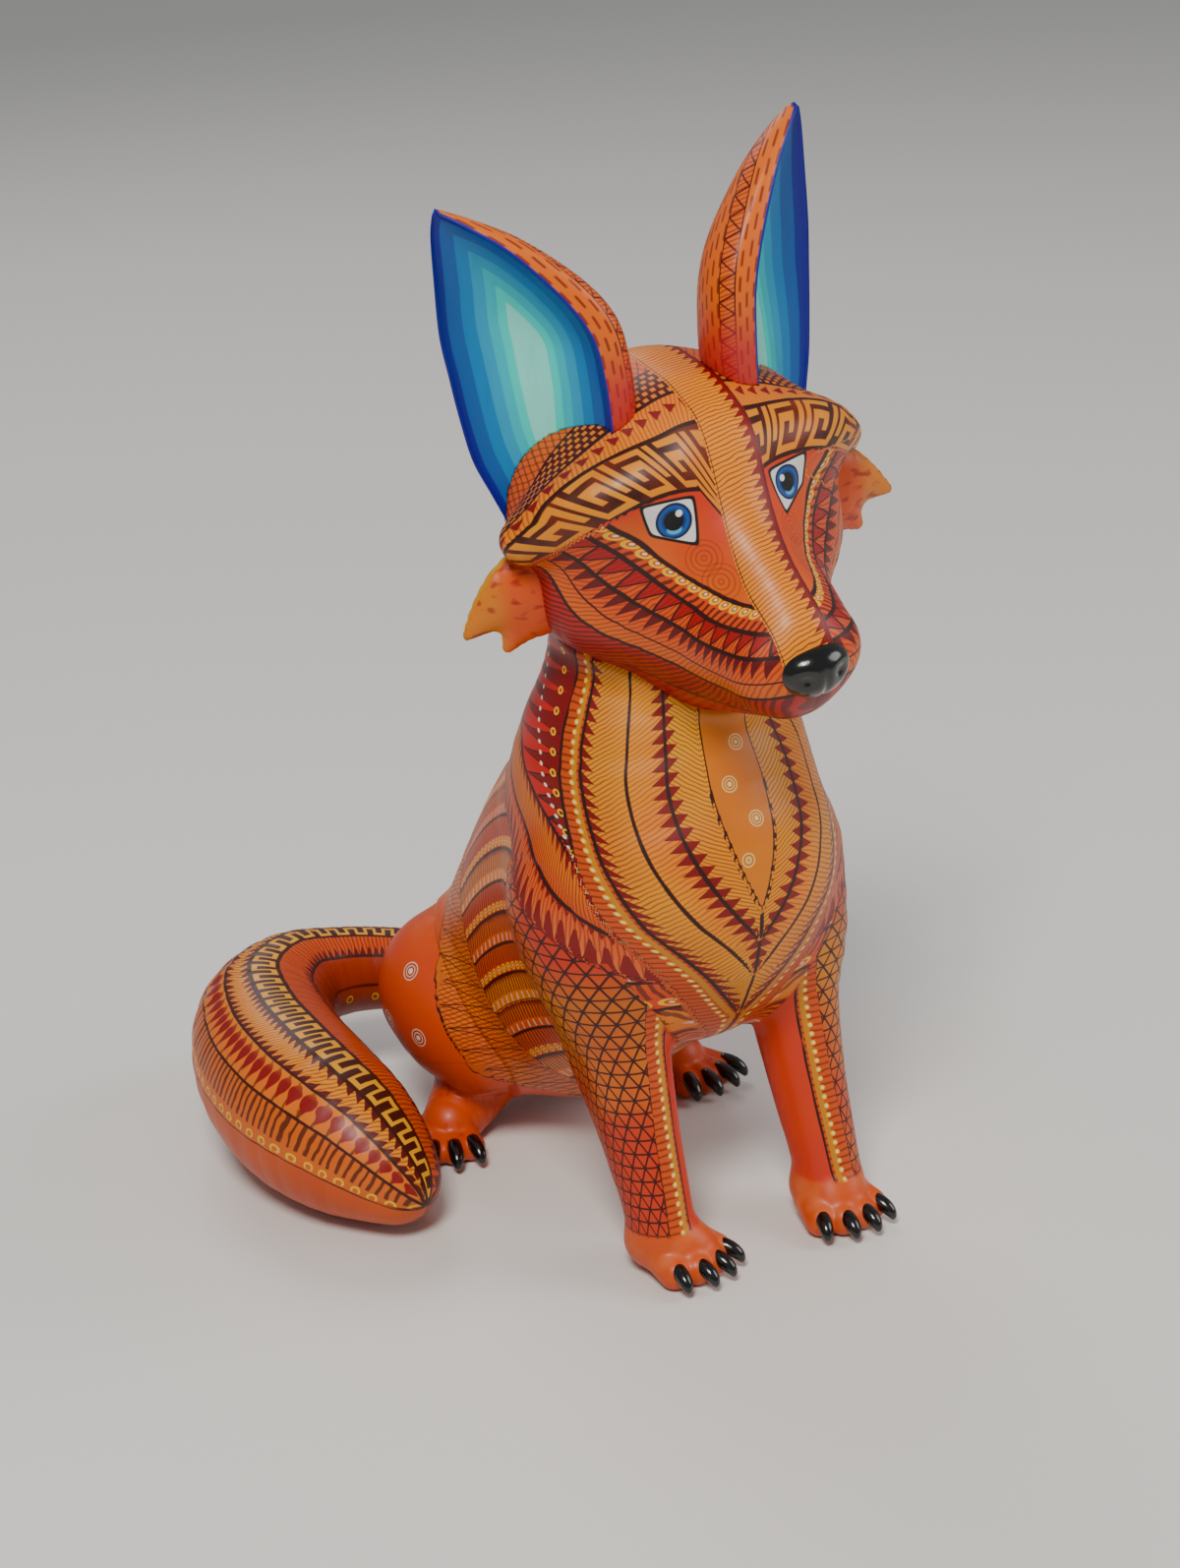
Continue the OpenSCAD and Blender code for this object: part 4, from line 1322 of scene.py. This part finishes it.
def paintHaunch(paint, haunch, gate):
    tree = paint.tree
    width, along = attributeTerm(tree, "haunchWidth"), attributeTerm(tree, "haunchAlong")
    share = haunch.fract()
    strip = haunch.between(1, 2, 0.0004) * gate
    rump = haunch.below(2, 0.0004).of(1) * gate
    paintBand(paint, zigzagStrip, strip, share, width, along)
    paint.coat("#cf6224", rump)
    up = heightTerm(tree)
    paint.coat("#d98a3a", up.below(84, 30.0).of(1) * rump * 0.5)
    paint.coat(magenta, (noiseTerm(tree, 20.0, 2.0) - 0.52).math("MULTIPLY", 4.0, clamp=True) * rump * 0.5)
    paint.coat(maroon, (share.least(share.of(1)) * width).below(0.55, 0.3) * strip)
    ringDots(paint, ballPoints(haunchBall), 3.3, rump)


def hindMaterial():
    material, tree, shader = startMaterial("hindLegPaint")
    paint = Paint(tree, "#cb6026")
    one = heightTerm(tree).below(900, 1.0)
    paintHaunch(paint, attributeTerm(tree, "haunchPlace"), one)
    foot = heightTerm(tree).below(26, 3.0)
    paint.coat("#cc6440", foot)
    dash = noiseTerm(tree, 240.0, 1.0, (1, 1, 0.35))
    paint.coat("#a3281c", (dash - 0.6).math("MULTIPLY", 9.0, clamp=True) * foot * 0.7)
    finishMaterial(tree, shader, paint)
    return material


def headMaterial():
    material, tree, shader = startMaterial("headPaint")
    paint = Paint(tree, "#cf5a22")
    paintBands(paint, ("bandPlace", "bandWidth", "bandAlong"), headPaint)
    across, up = attributeTerm(tree, "eyeAcross"), attributeTerm(tree, "eyeUp")
    # rings of thin paint around two points of the inner cheek
    place = attributeTerm(tree, "bandPlace")
    plain = place.between(4, 5, 0.001)
    for cx, cy in ((-8.0, -13.0), (-12.0, -20.0)):
        r = ((across - cx) * (across - cx) + (up - cy) * (up - cy)).math("SQRT")
        rings = ridge(r, 1.5).below(0.3, 0.25) * r.below(5.5, 0.8)
        paint.coat("#7a2a12", rings * plain * 0.45)
    paintBands(paint, ("stripePlace", "stripeWidth", "stripeAlong"), stripePaint,
               gate=attributeTerm(tree, "headUp").below(-26, 1.0).of(1))
    paintEye(paint, across, up)
    finishMaterial(tree, shader, paint)
    return material


eyeCorners = [(9, 5), (-6.5, 5), (-7, -0.5), (-6.5, -8.5), (6.5, -4)]   # mm from the eye's centre


def paintEye(paint, across, up):
    # the white is a five-sided almond: the smallest distance in from its sides, which run round the corners
    tree = paint.tree
    near = attributeTerm(tree, "headUp").below(10, 1.0).of(1)
    depth = None
    count = len(eyeCorners)
    for i in range(count):
        (ax, ay), (bx, by) = eyeCorners[i], eyeCorners[(i + 1) % count]
        reach = math.hypot(bx - ax, by - ay)
        nx, ny = -(by - ay) / reach, (bx - ax) / reach
        side = across * nx + up * ny - (ax * nx + ay * ny)
        if depth is None:
            depth = side
        else:
            apart = (depth - side) * (depth - side) + 1.0
            depth = (depth + side - apart.math("SQRT")) * 0.5
    paint.coat("#170b0a", depth.below(-1.0, 0.3).of(1) * near)
    white = depth.below(-0.1, 0.25).of(1) * near
    paint.coat("#f4f2f0", white)
    cx, cy = -0.3, -0.9
    r = ((across - cx) * (across - cx) + (up - cy) * (up - cy)).math("SQRT")
    paint.coat("#081c40", r.below(5.5, 0.25) * white)
    paint.coat("#1d5f9e", r.below(4.7, 0.5) * white)
    paint.coat("#0e3f78", r.below(3.7, 0.6) * white)
    # painted reflection: a pale blue crescent in the iris below the pupil
    low = ((across - cx) * (across - cx) * 0.8 + (up - cy + 2.6) * (up - cy + 2.6) * 2.0).math("SQRT")
    paint.coat("#8cc4e6", low.below(2.0, 0.5) * r.below(4.8, 0.3) * white * 0.8)
    paint.coat("#020306", r.below(3.0, 0.25) * white)
    # painted highlight: a small white glint on the eye, above the pupil and towards the nose
    paintedGlint = ((across - cx + 1.7) * (across - cx + 1.7) + (up - cy - 2.0) * (up - cy - 2.0)).math("SQRT")
    paint.coat("#ffffff", paintedGlint.below(1.05, 0.25) * white)


def tailMaterial():
    material, tree, shader = startMaterial("tailPaint")
    paint = Paint(tree, "#c2601c")
    paintBands(paint, ("bandPlace", "bandWidth", "bandAlong"), tailPaint, line=("#3a150c", 0.35))
    finishMaterial(tree, shader, paint)
    return material


def earMaterial():
    material, tree, shader = startMaterial("earPaint")
    paint = Paint(tree, salmon)
    height, run = attributeTerm(tree, "earHeight"), attributeTerm(tree, "earRun")
    scoop, rim = attributeTerm(tree, "earScoop"), attributeTerm(tree, "earRim")
    # outside: salmon with short dark strokes, magenta at the root and a zigzag strip up the front edge
    paint.coat("#e08a3c", height.below(70, 50.0).of(1) * 0.6)
    row = run / 2.6
    stagger = row.math("FLOOR") * 0.37
    dashAlong = ((height / 7.5 + stagger).fract() - 0.5).size()
    dashAcross = (row.fract() - 0.5).size()
    paint.coat("#6a1c12", dashAlong.below(0.3, 0.1) * dashAcross.below(0.17, 0.1) * 0.8)
    strip = attributeTerm(tree, "earStrip")
    share = strip.fract()
    inStrip = strip.between(1, 2, 0.001)
    paintBand(paint, {"base": "#dd7a2c", "motifs": [
        ("strokes", "#6a2012", {"period": 1.4, "thick": 0.24, "slant": 0.4, "strength": 0.6}),
        ("zigzag", "#5a1a10", {"period": 6.0, "thick": 0.2})]}, inStrip, share, (share * 0) + 6.0, height)
    paint.coat(maroon, (share.least(share.of(1)) * 6.0).below(0.45, 0.3) * inStrip)
    paint.coat(magenta, height.below(22, 14.0) * 0.75)
    # inside: nested drops of blue that grow paler inwards
    blues = [("#12388e", -1.0), ("#1068a8", 2.2), ("#108ac0", 5.8), ("#14a8cc", 9.4), ("#22c4d2", 12.8),
             ("#5ee2da", 15.8), ("#a8f6ea", 18.4)]
    wave = (noiseTerm(tree, 46.0, 2.0) - 0.5) * 1.0
    for colour, start in blues:
        paint.coat(colour, (rim + wave).below(start, 0.35).of(1) * scoop)
    streaks = (noiseTerm(tree, 260.0, 2.0, (1, 1, 0.2)) - 0.55).math("MULTIPLY", 3.0, clamp=True)
    paint.coat("#063a78", streaks * scoop * 0.18)
    paint.coat("#1a1f8c", rim.size().below(1.0, 0.4))
    finishMaterial(tree, shader, paint)
    return material


def tuftMaterial():
    material, tree, shader = startMaterial("tuftPaint")
    paint = Paint(tree, "#d46a2a")
    out = attributeTerm(tree, "tuftOut")
    paint.coat("#cf8a2c", out.below(64, 6.0).of(1) * 0.8)
    paint.coat("#c24a20", out.below(52, 8.0) * 0.7)
    dash = noiseTerm(tree, 330.0, 1.0, (0.4, 1, 1))
    paint.coat("#8e2414", (dash - 0.58).math("MULTIPLY", 9.0, clamp=True) * 0.75)
    paint.coat("#c99a3c", attributeTerm(tree, "tuftRim").below(1.6, 0.8) * out.below(52, 3.0).of(1))
    finishMaterial(tree, shader, paint)
    return material


def glossMaterial():
    material, tree, shader = startMaterial("blackGloss", 0.16, 0.6)
    paint = Paint(tree, "#0b0b0c")
    paint.coat("#1d1a1a", (noiseTerm(tree, 120.0, 3.0) - 0.45).math("MULTIPLY", 3.0, clamp=True) * 0.6)
    tree.links.new(paint.socket, shader.inputs["Base Color"])
    pits = noiseTerm(tree, 420.0, 2.0)
    bump = tree.nodes.new("ShaderNodeBump")
    bump.inputs["Strength"].default_value = 0.22
    bump.inputs["Distance"].default_value = 0.0006
    tree.links.new(pits.socket, bump.inputs["Height"])
    tree.links.new(bump.outputs["Normal"], shader.inputs["Normal"])
    return material


def woodMaterial():
    material, tree, shader = startMaterial("bareWood", 0.55, 0.0)
    paint = Paint(tree, "#d2b27a")
    rings = ridge(noiseTerm(tree, 60.0, 4.0, (1, 1, 0.12)) * 9.0, 1.0)
    paint.coat("#a8804a", rings.below(0.5, 0.5) * 0.6)
    grain = (noiseTerm(tree, 700.0, 2.0, (1, 1, 0.06)) - 0.55).math("MULTIPLY", 5.0, clamp=True)
    paint.coat("#8a6236", grain * 0.5)
    finishMaterial(tree, shader, paint)
    return material


finishes = {"torsoSkin": bodyMaterial("bodyPaint", False), "headSkin": headMaterial(), "tailSkin": tailMaterial(),
            "noseSkin": glossMaterial()}
legPaint = bodyMaterial("legPaint", True)
hindPaint = hindMaterial()
earPaint = earMaterial()
tuftPaint = tuftMaterial()
for sideName in ("right", "left"):
    finishes["forelegSkin_" + sideName] = legPaint
    finishes["hindLegSkin_" + sideName] = hindPaint
    finishes["earSkin_" + sideName] = earPaint
    finishes["tuftSkin_" + sideName] = tuftPaint
    finishes["foreClaws_" + sideName] = finishes["noseSkin"]
    finishes["hindClaws_" + sideName] = finishes["noseSkin"]
for name, material in finishes.items():
    pieces[name][0].data.materials.append(material)
wood = woodMaterial()
pegs = ["neck_dowel", "tail_peg"] + [n + sideName for n in ("ear_peg_", "foreleg_dowel_", "hind_leg_dowel_")
                                     for sideName in ("right", "left")]
for name in pegs:
    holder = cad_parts[name]
    holder.data.materials.clear()
    holder.data.materials.append(wood)
print("painted")


stands = {
    "torsoSkin": ("root", "painted_body", ["torso"]),
    "headSkin": ("root", "painted_head", ["head"]),
    "tailSkin": ("tail", "painted_tail", ["tail"]),
    "noseSkin": ("root", "black_gloss", ["nose"]),
}
for sideName in ("right", "left"):
    stands["earSkin_" + sideName] = ("ear_" + sideName, "painted_ear", ["ear_" + sideName])
    stands["tuftSkin_" + sideName] = ("root", "painted_tuft", ["cheek_tuft_" + sideName])
    stands["forelegSkin_" + sideName] = ("root", "painted_leg", ["foreleg_" + sideName])
    stands["hindLegSkin_" + sideName] = ("root", "painted_leg", ["hind_leg_" + sideName])
    stands["foreClaws_" + sideName] = ("root", "black_gloss", ["fore_claws_" + sideName])
    stands["hindClaws_" + sideName] = ("root", "black_gloss", ["hind_claws_" + sideName])
for name, (body, slotName, nodes) in stands.items():
    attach(pieces[name][0], body)
    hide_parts(*nodes)


studio = {"floorSize": 16.0, "camera": (-511.3, -786.1, 530.0), "azimuth": 29.79, "pitch": 21.10, "roll": 2.742,
          "lens": 100.05}


def makeFloor():
    half = studio["floorSize"] / 2
    points = np.array([[-half, -half, 0], [half, -half, 0], [half, half, 0], [-half, half, 0]])
    floor = makeMesh("floor", points, np.array([[0, 1, 2, 3]]))
    material = bpy.data.materials.new("palePaper")
    material.use_nodes = True
    shader = material.node_tree.nodes["Principled BSDF"]
    shader.inputs["Base Color"].default_value = (0.74, 0.73, 0.71, 1)
    shader.inputs["Roughness"].default_value = 0.55
    floor.data.materials.append(material)


def areaLight(name, place, target, size, power, colour):
    light = bpy.data.lights.new(name, "AREA")
    light.shape = "DISK"
    light.size = size
    light.energy = power
    light.color = colour
    holder = bpy.data.objects.new(name, light)
    bpy.context.scene.collection.objects.link(holder)
    way = np.array(target, float) - np.array(place, float)
    holder.location = place
    holder.rotation_euler = Vector(way).to_track_quat("-Z", "Y").to_euler()


makeFloor()
areaLight("keyLight", (-0.9, -1.1, 1.9), (0, 0, 0.15), 0.7, 46, (1, 0.95, 0.87))
areaLight("fillLight", (1.5, -0.9, 1.1), (0, 0, 0.15), 1.2, 15, (1, 0.97, 0.93))
areaLight("backLight", (0.3, 1.6, 1.5), (0, 0, 0.15), 1.0, 9, (1, 1, 1))
world = bpy.data.worlds.new("studioWorld")
world.use_nodes = True
world.node_tree.nodes["Background"].inputs["Color"].default_value = (0.9, 0.92, 0.95, 1)
world.node_tree.nodes["Background"].inputs["Strength"].default_value = 0.30
bpy.context.scene.world = world


def makeCamera():
    # forward = (sin a cos e, cos a cos e, -sin e); the picture is then rolled about it
    a, e, roll = (math.radians(studio[k]) for k in ("azimuth", "pitch", "roll"))
    forward = np.array([math.sin(a) * math.cos(e), math.cos(a) * math.cos(e), -math.sin(e)])
    flat = np.array([math.cos(a), -math.sin(a), 0])
    down = np.cross(forward, flat)
    right = math.cos(roll) * flat + math.sin(roll) * down
    downRolled = -math.sin(roll) * flat + math.cos(roll) * down
    turn = Matrix(np.column_stack([right, -downRolled, -forward]).tolist()).to_4x4()
    camera = bpy.data.cameras.new("camera")
    camera.sensor_width = 36
    camera.sensor_fit = "HORIZONTAL"
    camera.lens = studio["lens"]
    camera.clip_end = 20
    holder = bpy.data.objects.new("camera", camera)
    bpy.context.scene.collection.objects.link(holder)
    turn.translation = toRow(np.array(studio["camera"])).tolist()
    holder.matrix_world = turn
    bpy.context.scene.camera = holder


makeCamera()
